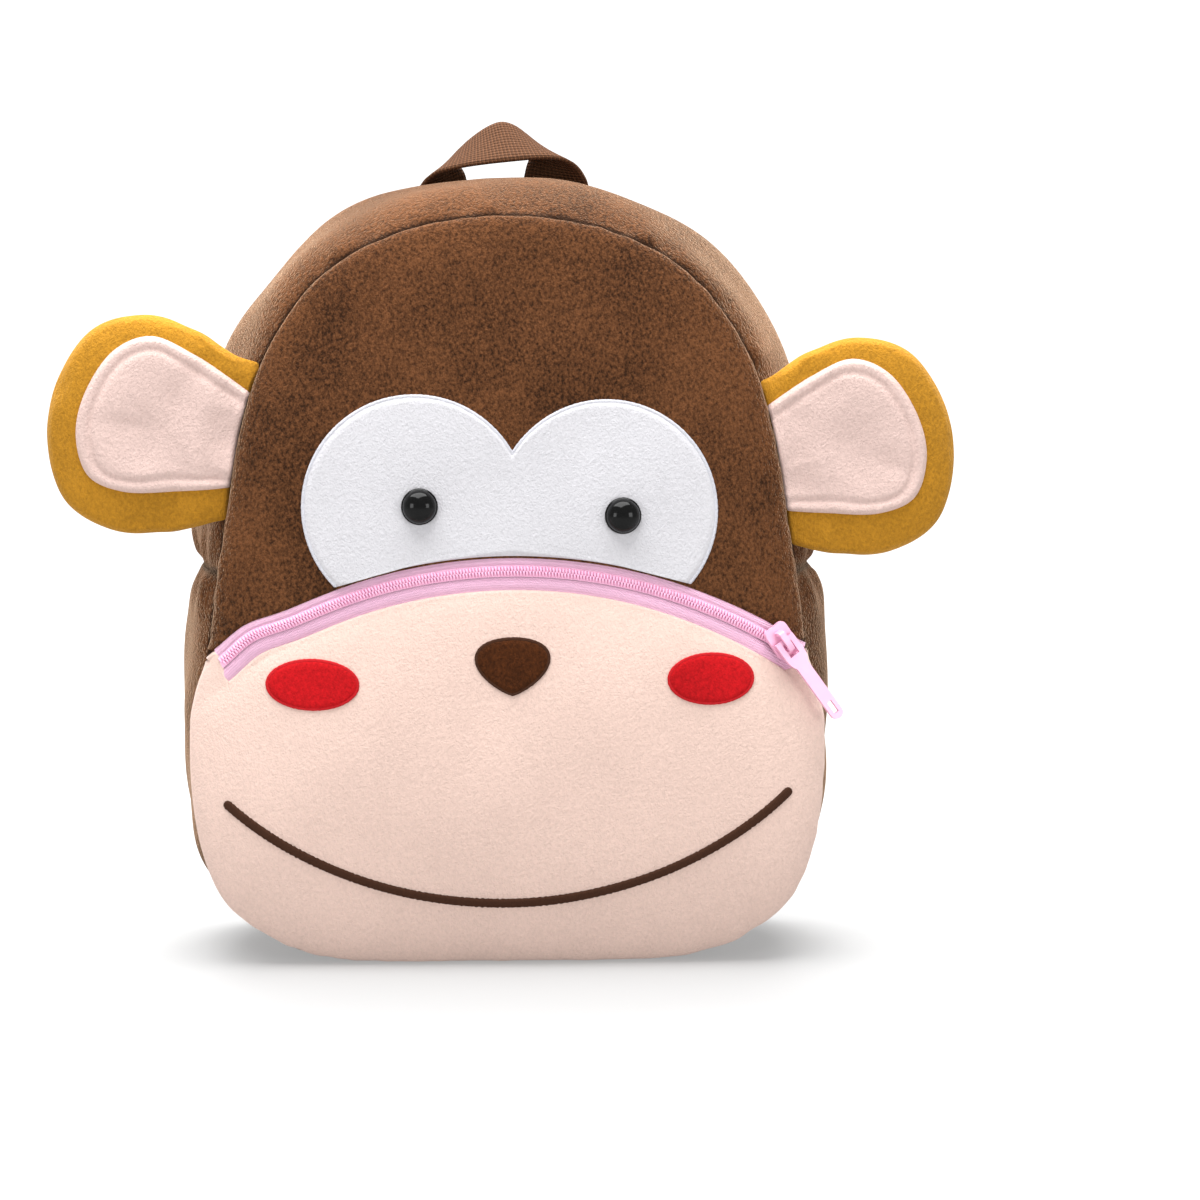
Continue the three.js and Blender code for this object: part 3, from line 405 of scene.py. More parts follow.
def face_y(x, z):
    share = from_middle(x, z) / face_edge(bearing(x, z))
    dome = CROWN * np.sqrt(np.maximum(0, 1 - np.minimum(1, share) ** (4 - 1.7 * ease(160, 220, z))))
    slack = SLACK * ripple(x, z, FRONT_SLACK_SPAN, 3) * np.clip(1 - share**6, 0, 1)
    return face_seam_y(z) - EDGE_DEPTH - dome - muzzle_swell(x, z) + slack


def fading(away, reach, power=2):
    """One on a line, and almost nothing at two reaches from it."""
    return np.exp(-((away / reach) ** power))


def zip_point(radius, angle):
    """A point of the zip by its radius and angle: an arc that stays high and turns down at its left end."""
    radius = radius + ZIP_RISE * fading(angle - ZIP_RISE_AT, ZIP_RISE_REACH)
    return spoke((ZIP_X, ZIP_Z), radius, angle)


def zip_rim(radius, way):
    """The angle along an arc of the zip where it comes to the border of the face."""
    turn = np.linspace(0, 0.9, 4000)
    x, z = zip_point(radius, math.pi / 2 + way * turn)
    near = from_middle(x, z) / face_edge(bearing(x, z))
    return math.pi / 2 + way * turn[np.argmax(near >= 0.99)]


def front_panel(fold, tuck_to, around):
    """A front panel between its folded zip edge and its rolled seam edge, as a grid of points."""
    fold = even_steps(fold, PANEL_COLUMNS)
    way = np.gradient(fold, axis=0)
    way /= np.linalg.norm(way, axis=1, keepdims=True)
    tuck_way = tuck_to * np.stack([way[:, 1], -way[:, 0]], -1)
    start, finish = bearing(*fold[0]), bearing(*fold[-1])
    finish += 2 * math.pi * round((start + around - finish) / (2 * math.pi))
    angle = np.linspace(start, finish, PANEL_COLUMNS)
    edge, seam = face_edge(angle), front_reach(angle)
    edge_x, edge_z = spoke(MIDDLE, edge, angle)
    fold_y = face_y(fold[:, 0], fold[:, 1])
    layers = []
    for tuck, back in FOLD_BACK:
        spot = fold + tuck * tuck_way
        layers.append(np.stack([spot[:, 0], fold_y + back, spot[:, 1]], -1))
    for v in 1 - (1 - np.linspace(0, 1, PANEL_ROWS)) ** 1.8:
        x, z = fold[:, 0] + (edge_x - fold[:, 0]) * v, fold[:, 1] + (edge_z - fold[:, 1]) * v
        layers.append(np.stack([x, face_y(x, z), z], -1))
    for turn in np.radians(np.linspace(12, 90, 9)):
        x, z = spoke(MIDDLE, edge - (edge - seam) * (1 - math.cos(turn)), angle)
        layers.append(np.stack([x, face_seam_y(z) - EDGE_DEPTH * (1 - math.sin(turn)) - SEAM_GAP, z], -1))
    for tuck in SEAM_TUCKS:
        x, z = spoke(MIDDLE, seam - tuck, angle)
        layers.append(np.stack([x, face_seam_y(z) - SEAM_GAP, z], -1))
    return np.array(layers), edge * (angle - angle[0])


def pulls(along, short, long, seed):
    """How far a seam draws its cloth in, uneven along it in short and in long steps."""
    return ripple(along, 0 * along, short, seed) * 0.8 + ripple(along, 0 * along, long, seed + 1) * 0.6


def gathers(grid, along, depth, reach, seed):
    """Small puckers where the cloth is drawn in by its seam, fading away from it."""
    away = np.linalg.norm(grid - grid[-6], axis=2)
    return depth * pulls(along, 10, 27, seed) * fading(away, reach, 1.4)


def seam_shade_rows(grid):
    """Painted shade for each row of a panel: only the last rows, round its rolled edge into the seam."""
    rows = np.zeros(grid.shape[:2])
    rows[-len(SEAM_SHADE_STEPS) :] = np.array(SEAM_SHADE_STEPS)[:, None]
    return rows


face_low = ZIP_HIGH + 1.3
face_turn = np.linspace(zip_rim(face_low, -1), zip_rim(face_low, 1), 600)
face_fold = np.stack(zip_point(face_low, face_turn), -1)
face_grid, face_along = front_panel(face_fold, -1, 3.5)
face_grid = lift_off(face_grid, gathers(face_grid, face_along, 0.2, 12, 11))
# Painted shade darkens the rolled edge where it turns into the seam.
face = sewn_mesh("face_plush", face_grid, brown_plush, "brown_plush", seam_shade=seam_shade_rows(face_grid))
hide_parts("face_panel")

# Muzzle panel
# The lower front of the head: pale peach plush on thick foam, the fullest part of the bag.
# It is folded along the zip, turns up round both ends of it to the face, and is rolled into the same seam.
ZIP_LEFT, ZIP_RIGHT, END_SLANT = math.radians(125.8), math.radians(55.6), 0.0125
MUZZLE_FLOOR, MUZZLE_REST = 0.2, 1.2
peach_plush = plush(
    "peach_plush", (0.625, 0.462, 0.4), (0.95, 0.8, 0.72), mottle=0.07, pile=0.0004, sheen_weight=0.25
)


def round_off(line, reach):
    """Rounds the corners of an evenly stepped line by a running mean."""
    ends = np.concatenate([np.repeat(line[:1], reach, axis=0), line, np.repeat(line[-1:], reach, axis=0)])
    weight = np.ones(2 * reach + 1) / (2 * reach + 1)
    return np.stack([np.convolve(ends[:, k], weight, mode="valid") for k in range(line.shape[1])], -1)


fold_low, fold_high = ZIP_LOW - 1.3, ZIP_HIGH - 1.0
fold_corners = np.array(
    [
        (fold_high, zip_rim(fold_high, -1)),
        (fold_high, ZIP_RIGHT - 0.02),
        (fold_low, ZIP_RIGHT),
        (fold_low, ZIP_LEFT + END_SLANT),
        (fold_high, ZIP_LEFT - END_SLANT + 0.006),
        (fold_high, zip_rim(fold_high, 1)),
    ]
)
corner_steps = np.arange(len(fold_corners))
fold_steps = np.linspace(0, corner_steps[-1], 3000)
fold_radius, fold_turn = (np.interp(fold_steps, corner_steps, column) for column in fold_corners.T)
muzzle_fold = round_off(even_steps(np.stack(zip_point(fold_radius, fold_turn), -1), 2200), 8)
muzzle_grid, muzzle_along = front_panel(muzzle_fold, 1, -3.5)
muzzle_grid = lift_off(muzzle_grid, -gathers(muzzle_grid, muzzle_along, 0.3, 12, 23))
from_floor = muzzle_grid[:, :, 2] - MUZZLE_FLOOR
muzzle_grid[:, :, 2] = MUZZLE_FLOOR + (from_floor + np.sqrt(from_floor**2 + MUZZLE_REST**2)) / 2
# Painted shade darkens the rolled edge where it turns into the seam.
muzzle_seam_shade = seam_shade_rows(muzzle_grid)
muzzle = sewn_mesh("muzzle_plush", muzzle_grid, peach_plush, "peach_plush", flip=True, seam_shade=muzzle_seam_shade)
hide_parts("muzzle_panel")

# Gusset
# One band of brown plush in two lengths runs round the bag between the front and the back seam.
# It bulges with the filling, is drawn in at both seams and at the side joins, and lies flat under the bag.
# Its plush is painted darker along both seams and the side joins, as painted shade.
JOIN, JOIN_PINCHES, JOIN_FOLDS = 130.5, ((3, 7), (1.3, 2)), 6
CORNER, CORNER_PINCH, CORNER_REACH = 17, 4, 13
GUSSET_BULGE, GUSSET_FLOOR, END_TUCK = 10.5, 0.12, 3


def gusset_strip(first, last, columns, seed):
    """One length of the gusset between two steps of the seam line, as a grid of points, and its painted seam
    shade.
    """
    step = np.linspace(first, last, columns)
    index = np.arange(-8, len(seam_loop) + 8)
    wrapped = seam_loop[index % len(seam_loop)]

    def at(step):
        return np.stack([np.interp(step % len(seam_loop), index, wrapped[:, k]) for k in (0, 1)], -1)

    place, way = at(step), at(step + 6) - at(step - 6)
    way /= np.linalg.norm(way, axis=1, keepdims=True)
    outward = np.stack([-way[:, 1], way[:, 0]], -1)
    from_join = place[:, 1] - JOIN
    pinch = sum(depth * fading(from_join, reach) for depth, reach in JOIN_PINCHES)
    pinch += CORNER_PINCH * fading(place[:, 1] - CORNER, CORNER_REACH)
    length = step * np.linalg.norm(seam_loop[1] - seam_loop[0])
    inset = front_inset(place[:, 1])
    rows = []
    for share in np.concatenate([[0, 0], 0.5 - 0.5 * np.cos(np.linspace(0, math.pi, 76)), [1, 1]]):
        bulge = (GUSSET_BULGE + inset / 2 - pinch) * (1 - abs(2 * share - 1) ** 2.4) ** 0.72
        x, z = (place + outward * (bulge - inset * (1 - share))[:, None]).T
        front = face_seam_y(place[:, 1])
        rows.append(np.column_stack([x, front + SEAM_GAP + share * (BACK_SEAM - 2 * SEAM_GAP - front), z]))
    grid = np.array(rows)
    for row, tuck in zip((1, 0, -2, -1), SEAM_TUCKS * 2):
        grid[row, :, 0] -= outward[:, 0] * tuck
        grid[row, :, 2] -= outward[:, 1] * tuck
    near = np.min([np.linalg.norm(grid - grid[row], axis=2) for row in (2, -3)], axis=0)
    height = 0.7 * pulls(length, 11, 30, seed) * fading(near, 11, 1.4) * ease(0, 6, near)
    height = height + ripple(length[None], grid[:, :, 1], 46, seed + 2) * (1 - fading(near, 14))
    folds = ripple(grid[:, :, 1] * 1.2, 0 * grid[:, :, 1], 14, seed + 3)
    height = height + 0.8 * folds * fading(np.abs(from_join) - JOIN_FOLDS, math.sqrt(60))
    # Painted shade: darkest in the seams and across the side join, and full on the tuck rows.
    seam_shade = np.maximum(fading(near, 1.7), 0.8 * fading(from_join, 1.2))
    seam_shade[:2] = seam_shade[-2:] = 1
    grid = lift_off(grid, height * ease(0, 4, np.abs(from_join)))
    grid[:, :, 2] = np.maximum(grid[:, :, 2], GUSSET_FLOOR)
    ends = [grid[:, k] - END_TUCK * np.array([outward[k, 0], 0, outward[k, 1]]) for k in (0, -1)]
    grid = np.concatenate([ends[0][:, None], grid, ends[1][:, None]], axis=1)
    return grid, np.concatenate([seam_shade[:, :1], seam_shade, seam_shade[:, -1:]], axis=1)


join_right = int(np.argmax(seam_loop[:, 1] < JOIN))
join_left = len(seam_loop) - join_right
gusset_runs = {
    "upper": (join_left - len(seam_loop) + 0.3, join_right - 0.3, 330, 31),
    "lower": (join_right + 0.3, join_left - 0.3, 360, 41),
}
for name, run in gusset_runs.items():
    strip_grid, strip_seam_shade = gusset_strip(*run)
    strip = sewn_mesh(f"gusset_{name}_plush", strip_grid, brown_plush, "brown_plush", seam_shade=strip_seam_shade)
    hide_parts(f"gusset_{name}")

# Back panel
# The flat back of the bag, brown plush on foam, rolled into the back seam all round.
# The straps and the grab loop are caught in the top of this seam.
BACK_EDGE, BACK_CROWN, BACK_SLACK_SPAN = 3.5, 3.5, 58
back_turn = np.linspace(-math.pi, math.pi, 360, endpoint=False)
back_seam = seam_reach(back_turn)


def back_y(x, z):
    share = from_middle(x, z) / (seam_reach(bearing(x, z)) + 1)
    slack = SLACK * ripple(x, z, BACK_SLACK_SPAN, 53) * np.clip(1 - share**6, 0, 1)
    return BACK_SEAM + BACK_EDGE + BACK_CROWN * np.sqrt(np.maximum(0, 1 - np.minimum(1, share) ** 4)) + slack


def back_ring(reach, y):
    x, z = spoke(MIDDLE, reach, back_turn)
    return np.stack([x, y + 0 * reach, z], -1)


back_rows = []
for share in 1 - (1 - np.linspace(0.01, 1, 70)) ** 1.8:
    ring = back_ring(share * (back_seam + 1), 0)
    ring[:, 1] = back_y(ring[:, 0], ring[:, 2])
    back_rows.append(ring)
for turn in np.radians(np.linspace(12, 90, 8)):
    edge_y = BACK_SEAM + BACK_EDGE * (1 - math.sin(turn)) + SEAM_GAP
    back_rows.append(back_ring(back_seam + math.cos(turn), edge_y))
for tuck in SEAM_TUCKS:
    back_rows.append(back_ring(back_seam - tuck, BACK_SEAM + SEAM_GAP))
back_grid = np.array(back_rows)
back_grid = lift_off(back_grid, gathers(back_grid, back_turn * 110, 0.5, 9, 57), around=True)
# Painted shade darkens the rolled edge where it turns into the seam.
back_ends = {"around": True, "shut": ("first",), "seam_shade": seam_shade_rows(back_grid)}
back = sewn_mesh("back_plush", back_grid, brown_plush, "brown_plush", **back_ends)
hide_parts("back_panel")

# Zip
# A pink coil zip across the face: two woven tapes set back between the folded edges, and a nylon coil whose
# small loops hook together along the middle line.
TAPE_SINK, COIL_IN, COIL_OUT = 0.9, 164.3, 167.7


def woven(name, colour, cross, ribs, depth, deep, rough=0.75, sheen=0.15):
    """Woven ribbon: threads across it and ribs along it, read from millimetres laid out flat, with painted
    shade in the hollows of the weave.
    """
    material, tree = node_material(
        name, Roughness=rough, Specular_IOR_Level=0.12, Sheen_Weight=sheen, Sheen_Tint=(*scaled(colour, 4), 1)
    )
    flat = tree.nodes.new("ShaderNodeUVMap")
    flat.uv_map = "weave"
    apart = tree.nodes.new("ShaderNodeSeparateXYZ")
    tree.links.new(flat.outputs["UV"], apart.inputs["Vector"])
    rib, thread = (
        arithmetic(tree, "SINE", arithmetic(tree, "MULTIPLY", apart.outputs[axis], 2 * math.pi / pitch))
        for axis, pitch in (("X", ribs), ("Y", cross))
    )
    weave = arithmetic(tree, "MULTIPLY_ADD", rib, 0.55, thread)
    weave = arithmetic(tree, "MULTIPLY_ADD", grain(tree, 900), 1.6, weave)
    relief(tree, weave, 0.8, depth)
    # The colour follows the relief of the weave and a random grain: darker in the hollows as painted shade,
    # down to deep times the colour.
    lit = arithmetic(tree, "MULTIPLY_ADD", weave, 0.25, 0.35)
    tint(tree, lit, scaled(colour, deep), scaled(colour, 1.12))
    return material


pink_tape = woven("pink_tape", (0.92, 0.53, 0.72), 0.8, 0.8, deep=0.8, depth=0.0002)


def zip_strip(low, high, sink, rows, arch=0.0, dip=0.0):
    """A strip of the zip between two radii, set back from the face, with its ends under the folded edges."""
    layers, flat = [], []
    for share in np.linspace(0, 1, rows):
        radius = low + (high - low) * share
        slant = END_SLANT * (ZIP_LOW + ZIP_HIGH - 2 * radius) / (ZIP_HIGH - ZIP_LOW)
        angle = np.linspace(ZIP_RIGHT - 0.006, ZIP_LEFT + slant + 0.006, 420)
        x, z = zip_point(radius, angle)
        hollow = dip * fading(1 - share, 0.16)
        layers.append(np.stack([x, face_y(x, z) + sink + hollow - arch * math.sin(math.pi * share), z], -1))
        flat.append(np.stack([np.full_like(angle, radius), angle * radius], -1))
    return np.array(layers), np.array(flat)


for name, low, high, arch, dip in (
    ("lower", ZIP_LOW - 0.6, COIL_IN + 0.4, 0.8, 0.3),
    ("upper", COIL_OUT - 0.4, ZIP_HIGH + 0.6, 0.7, 0.0),
):
    tape_grid, tape_flat = zip_strip(low, high, TAPE_SINK, 14, arch, dip)
    tape = sewn_mesh(f"zip_{name}_tape", tape_grid, pink_tape, "zip_tape", uv=tape_flat)
    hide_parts(f"zip_tape_{name}")

pink_nylon, tree = node_material("pink_nylon", Roughness=0.45)
tint(tree, grain(tree, 260), (0.80, 0.40, 0.59), (0.90, 0.50, 0.68))

# Each loop of the coil is a short rounded bar, and the loops of the two sides lie half a step apart.
LOOP_STEP, LOOP_LONG, LOOP_WIDE, LOOP_HIGH = 1.05, 1.8, 0.44, 0.75
LOOP_OVERLAP, LOOP_LEAN, LOOP_PROUD, LOOP_HOOK = 0.15, 0.3, 0.7, 0.45
BAR_SIDES = 6
coil_middle = (COIL_IN + COIL_OUT) / 2
loop_count = int((ZIP_LEFT - ZIP_RIGHT) * coil_middle / LOOP_STEP)
bar_turn = np.linspace(0, 2 * math.pi, BAR_SIDES, endpoint=False)
bar_rings = [(0.0, 0.35), (0.12, 0.85), (0.5, 1.0), (0.88, 0.85), (1.0, 0.35)]
loop_points, loop_faces = [], []
for side in (-1, 1):
    for k in range(loop_count):
        angle = ZIP_RIGHT + (k + (0.5 if side > 0 else 0)) * LOOP_STEP / coil_middle
        run = (-math.sin(angle), math.cos(angle))
        base = len(loop_points)
        for share, wide in bar_rings:
            radius = coil_middle + side * (LOOP_LONG * share - LOOP_OVERLAP)
            x, z = zip_point(radius, angle + LOOP_LEAN * side * share / coil_middle)
            y = float(face_y(x, z)) + TAPE_SINK - LOOP_PROUD - LOOP_HOOK * (1 - share) ** 2
            for turn in bar_turn:
                sway, rise = LOOP_WIDE * wide * math.cos(turn), LOOP_HIGH * wide * math.sin(turn)
                loop_points.append((x + run[0] * sway, y - rise, z + run[1] * sway))
        for ring in range(len(bar_rings) - 1):
            for n in range(BAR_SIDES):
                a, b = (base + ring * BAR_SIDES + k % BAR_SIDES for k in (n, n + 1))
                loop_faces.append((a, b, b + BAR_SIDES, a + BAR_SIDES))
coil = mesh_piece("zip_coil_loops", loop_points, loop_faces, pink_nylon)
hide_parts("zip_coil")
core_grid, core_flat = zip_strip(COIL_IN - 0.2, COIL_OUT + 0.2, 0.45, 6, 0.3)
sewn_mesh("zip_coil_core", core_grid, pink_nylon, "zip_plastic", uv=core_flat)

# Slider and pull
# Moulded pink plastic: the slider rides on the coil at the right end, and the pull's end bar turns under its
# bridge. Both come from their tools with small round edges and a soft shine.
pink_moulded, tree = node_material(
    "pink_moulded", Roughness=0.3, Subsurface_Weight=0.12, Subsurface_Radius=(0.003, 0.0015, 0.0015)
)
swirl = grain(tree, 180, 3)
tint(tree, swirl, (0.78, 0.38, 0.56), (0.86, 0.46, 0.63))
relief(tree, swirl, 0.06, 0.0002)


def finish_moulding(node, material, edge):
    """Gives a hard piece its finish and the small round edges of a moulding."""
    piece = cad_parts[node]
    piece.data.materials.clear()
    piece.data.materials.append(material)
    rounding = piece.modifiers.new("round_edges", "BEVEL")
    rounding.width = edge
    rounding.segments = 3
    rounding.limit_method = "ANGLE"
    rounding.angle_limit = math.radians(40)


finish_moulding("zip_slider", pink_moulded, 0.0003)
finish_moulding("zip_pull", pink_moulded, 0.0004)

# Eye patch
# A white short-plush mask sewn on the face behind both eyes: two round lobes that meet in a notch.
# Its lower edge runs along the zip, and a close satin stitch covers the rest of its edge.
PATCHES = [(-30.7, 153.3, 36.5), (32.3, 151.8, 36.2)]
white_plush = plush(
    "white_plush", (0.53, 0.522, 0.545), (0.95, 0.95, 1), mottle=0.05, pile=0.0004, sheen_weight=0.2
)
patch_middle = np.array([0.9, 145.0])
patch_turn = np.linspace(-math.pi, math.pi, 400, endpoint=False)


def ray_root(turn, middle, x, z, radius):
    """Where rays from a point pass a circle: half the sum and half the spread of their two distances."""
    mid = (x - middle[0]) * np.cos(turn) + (z - middle[1]) * np.sin(turn)
    return mid, mid**2 - (x - middle[0]) ** 2 - (z - middle[1]) ** 2 + radius**2


lobe_reach = []
for lobe in PATCHES:
    mid, root = ray_root(patch_turn, patch_middle, *lobe)
    lobe_reach.append(np.where(root > 0, mid + np.sqrt(np.maximum(root, 0)), 0))
lobes = np.maximum(*lobe_reach)
mid, root = ray_root(patch_turn, patch_middle, ZIP_X, ZIP_Z, ZIP_HIGH + 1)
to_zip = np.where((root > 0) & (mid > 0), mid - np.sqrt(np.maximum(root, 0)), 1e3)
patch_reach = np.minimum(lobes, to_zip)


def sewn_on(middle, turn, reach, proud, soft, rows):
    """A thin piece laid on the face: its edge falls to the cloth over a soft border."""
    layers = []
    inner, border = np.linspace(0.015, 0.9, rows), 1 - 0.1 * (1 - np.linspace(0.15, 1, 10)) ** 1.5
    for share in np.concatenate([inner, border]):
        x, z = spoke(middle, share * reach, turn)
        inside = (1 - share) * reach
        layers.append(np.stack([x, face_y(x, z) - 0.3 - proud * np.sqrt(ease(0, soft, inside)), z], -1))
    rim = layers[-1].copy()
    rim[:, 1] += 1.0
    return np.array([*layers, rim])


patch_grid = sewn_on(patch_middle, patch_turn, patch_reach, 0.9, 2.2, 40)
patch_ends = {"around": True, "flip": True, "shut": ("first",)}
patch = sewn_mesh("eye_patch_plush", patch_grid, white_plush, "white_plush", **patch_ends)
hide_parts("eye_patch")


def satin_line(name, line, wide, proud, pitch, material, slot):
    """A close satin stitch along a line on the face: threads side by side across a low round ridge."""
    step = distance_along(line)
    even = np.linspace(0, step[-1], int(step[-1] / pitch) * 4)
    x, z = np.interp(even, step, line[:, 0]), np.interp(even, step, line[:, 1])
    way = np.stack([np.gradient(x), np.gradient(z)], -1)
    way /= np.linalg.norm(way, axis=1, keepdims=True)
    thread = 0.1 * np.abs(np.sin(math.pi * even / pitch)) + 0.06 * ripple(even, 0 * even, 3.1, 71)
    edge = 1 + 0.06 * ripple(even, 0 * even, 1.4, 73)
    from_end = np.minimum(even, step[-1] - even)
    edge = edge * np.sqrt(np.clip(1 - (1 - from_end / (wide / 2)).clip(0) ** 2, 0.01, 1))
    layers = []
    for across in np.linspace(-1, 1, 9):
        side = across * wide / 2 * edge
        px, pz = x - way[:, 1] * side, z + way[:, 0] * side
        ridge = proud * math.sqrt(max(0, 1 - across**4)) + thread * (1 - across**2)
        layers.append(np.stack([px, face_y(px, pz) + 0.1 - ridge, pz], -1))
    return sewn_mesh(name, np.array(layers), material, slot)


def satin_thread(name, colour):
    """Thread laid flat: hardly any gloss, and small changes of tone from strand to strand."""
    material, tree = node_material(name, Roughness=0.75, Specular_IOR_Level=0.15)
    strand = grain(tree, 1500)
    tint(tree, strand, scaled(colour, 0.7), scaled(colour, 1.25))
    relief(tree, strand, 0.4, 0.0002)
    return material


white_thread = satin_thread("white_thread", (0.5, 0.5, 0.54))
stitched = np.where(lobes <= to_zip + 0.3)[0]
gap_at = int(np.argmax(np.diff(stitched)))
stitched = np.concatenate([stitched[gap_at + 1 :], stitched[: gap_at + 1]])
patch_rim = np.stack(spoke(patch_middle, patch_reach[stitched], patch_turn[stitched]), -1)
satin_line("eye_patch_stitch", patch_rim, 1.3, 0.75, 0.55, white_thread, "white_plush")

# Eyes
# Two polished black beads, each a thin rim and a full dome, pushed through the patch and locked behind it.
# Each stands square to the cloth under it.
bead_black, tree = node_material("bead_black", Base_Color=(0.004, 0.004, 0.004, 1), Specular_IOR_Level=0.16)
haze = arithmetic(tree, "MULTIPLY_ADD", grain(tree, 400), 0.06, 0.07)
tree.links.new(haze, tree.nodes["Principled BSDF"].inputs["Roughness"])
bead_turn = np.linspace(0, 2 * math.pi, 72, endpoint=False)
bead_profile = [(6.0, -0.2), (6.05, 0.25), (6.0, 0.55), (5.82, 0.78), (5.6, 0.86)]
bead_profile += [(5.55 * math.cos(t), 0.95 + 4.1 * math.sin(t)) for t in np.linspace(0.05, 1.54, 26)]
for name, x, z in (("eye_left", -29.0, 153.8), ("eye_right", 37.6, 150.6)):
    tilt_x = float(face_y(x + 3, z) - face_y(x - 3, z)) / 6
    tilt_z = float(face_y(x, z + 3) - face_y(x, z - 3)) / 6
    out = np.array([tilt_x, -1.0, tilt_z]) / math.sqrt(1 + tilt_x**2 + tilt_z**2)
    right = np.cross(out, [0, 0, 1])
    right /= np.linalg.norm(right)
    up = np.cross(right, out)
    seat = np.array([x, float(face_y(x, z)), z]) + out * 1.5
    rings = [
        seat + out * high + r * (np.cos(bead_turn)[:, None] * right + np.sin(bead_turn)[:, None] * up)
        for r, high in bead_profile
    ]
    bead = sewn_mesh(f"{name}_bead", np.array(rings), bead_black, "bead", around=True, shut=("last",))
    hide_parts(name)

# Cheeks and nose
# Red oval cheeks and a dark brown nose, cut from short plush and sewn on flat.
# A satin stitch in the same colour covers each edge.
red_plush = plush(
    "red_plush", (0.385, 0.0054, 0.008), (0.9, 0.15, 0.15), mottle=0.22, pile=0.0004, sheen_weight=0.12
)
red_thread = satin_thread("red_thread", (0.42, 0.008, 0.012))
spot_turn = np.linspace(0, 2 * math.pi, 200, endpoint=False)


def oval_reach(wide, high):
    return 1 / np.sqrt((np.cos(spot_turn) / wide) ** 2 + (np.sin(spot_turn) / high) ** 2)


NOSE_WIDE, NOSE_UP, NOSE_DOWN = 11.9, 9.1, 9.0


def bend_through(*corners):
    """A smooth bend from the first corner to the last, drawn towards the two between them."""
    a, b, c, d = np.array(corners, float)
    t = np.linspace(0, 1, 60, endpoint=False)[:, None]
    return (1 - t) ** 3 * a + 3 * (1 - t) ** 2 * t * b + 3 * (1 - t) * t**2 * c + t**3 * d


nose_low = bend_through(
    (0, -NOSE_DOWN),
    (-0.3 * NOSE_WIDE, -0.9 * NOSE_DOWN),
    (-NOSE_WIDE, -0.3 * NOSE_DOWN),
    (-NOSE_WIDE, 0.3 * NOSE_UP),
)
nose_high = bend_through(
    (-NOSE_WIDE, 0.3 * NOSE_UP), (-NOSE_WIDE, 0.8 * NOSE_UP), (-0.5 * NOSE_WIDE, NOSE_UP), (0, NOSE_UP)
)
nose_half = np.vstack([nose_low, nose_high])
nose_loop = np.vstack([nose_half, [[0, NOSE_UP]], (nose_half * [-1, 1])[:0:-1]])
nose_reach = reach_about(nose_loop, np.zeros(2))(spot_turn)
cocoa_plush = plush(
    "cocoa_plush", (0.052, 0.0145, 0.0035), (0.5, 0.25, 0.12), mottle=0.4, pile=0.0006, sheen_weight=0.15
)
cocoa_thread = satin_thread("cocoa_thread", (0.042, 0.0145, 0.006))
spots = [
    ("cheek_left", (-64.4, 95.5), oval_reach(14.9, 7.9), red_plush, red_thread, "red_plush"),
    ("cheek_right", (66.6, 96.9), oval_reach(13.9, 8.0), red_plush, red_thread, "red_plush"),
    ("nose", (1.3, 101.3), nose_reach, cocoa_plush, cocoa_thread, "cocoa_thread"),
]
for name, middle, reach, cloth, thread, slot in spots:
    grid = sewn_on(middle, spot_turn, reach, 0.8, 1.6, 16)
    spot = sewn_mesh(f"{name}_plush", grid, cloth, slot, **patch_ends)
    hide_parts(name)
    rim = np.stack(spoke(middle, reach, spot_turn), -1)
    satin_line(f"{name}_stitch", np.vstack([rim, rim[:2]]), 1.2, 0.7, 0.55, thread, slot)

# Mouth
# One wide smile in dark brown satin stitch, worked straight into the muzzle along an arc.
# Its threads lie side by side across the line.
MOUTH_X, MOUTH_Z, MOUTH_RADIUS, MOUTH_WIDE = -2.0, 162.1, 140.0, 3.2
smile = np.radians(np.linspace(-90 - 40.9, -90 + 43, 300))
smile_line = np.stack(spoke((MOUTH_X, MOUTH_Z), MOUTH_RADIUS, smile), -1)
mouth = satin_line("mouth_stitch", smile_line, MOUTH_WIDE, 0.9, 0.6, cocoa_thread, "cocoa_thread")
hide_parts("mouth")

# Ears
# Two stuffed ears of mustard plush, sewn flat into the front seam and full towards their rims.
# Each has a pale pink panel on its front, stitched down a little inside its rolled edge.
EAR_OUTLINE = [
    (74, 192), (90, 200), (103, 208), (119, 212.5), (136, 208), (148, 192),
    (151.8, 172), (146, 151.5), (131, 142), (113, 141), (96, 144.5), (80, 149),
]
EAR_PANEL = [
    (76, 180), (87, 189), (103, 200), (117, 206), (129, 201.5), (139, 187),
    (142, 173), (138, 160), (127, 155), (108, 155), (92, 156), (80, 158),
]
EAR_MIDDLE = np.array([112.0, 175.0])
EAR_PUFF, EAR_EDGE, EAR_NECK = 5.1, 1.4, 16
PANEL_ROLL, PANEL_STITCH, PANEL_STITCH_IN = 1.4, 0.8, 4.4
FILL_FRAMES = 16
ear_reach = reach_about(smooth_loop(EAR_OUTLINE, 720), EAR_MIDDLE)
panel_reach = reach_about(smooth_loop(EAR_PANEL, 720), EAR_MIDDLE)
mustard_plush = plush(
    "mustard_plush", (0.355, 0.163, 0.0128), (0.95, 0.6, 0.22), mottle=0.2, pile=0.0005, sheen_weight=0.3
)
blush_plush = plush(
    "blush_plush", (0.56, 0.415, 0.377), (0.95, 0.8, 0.76), mottle=0.08, pile=0.0005, sheen_weight=0.25
)
ear_turn = np.linspace(-math.pi, math.pi, 150, endpoint=False)


def seam_half(z):
    heights = [p[1] for p in SEAM[:-1]]
    halves = [p[0] for p in SEAM[:-1]]
    return np.interp(z, heights[::-1], halves[::-1]) - front_inset(z)


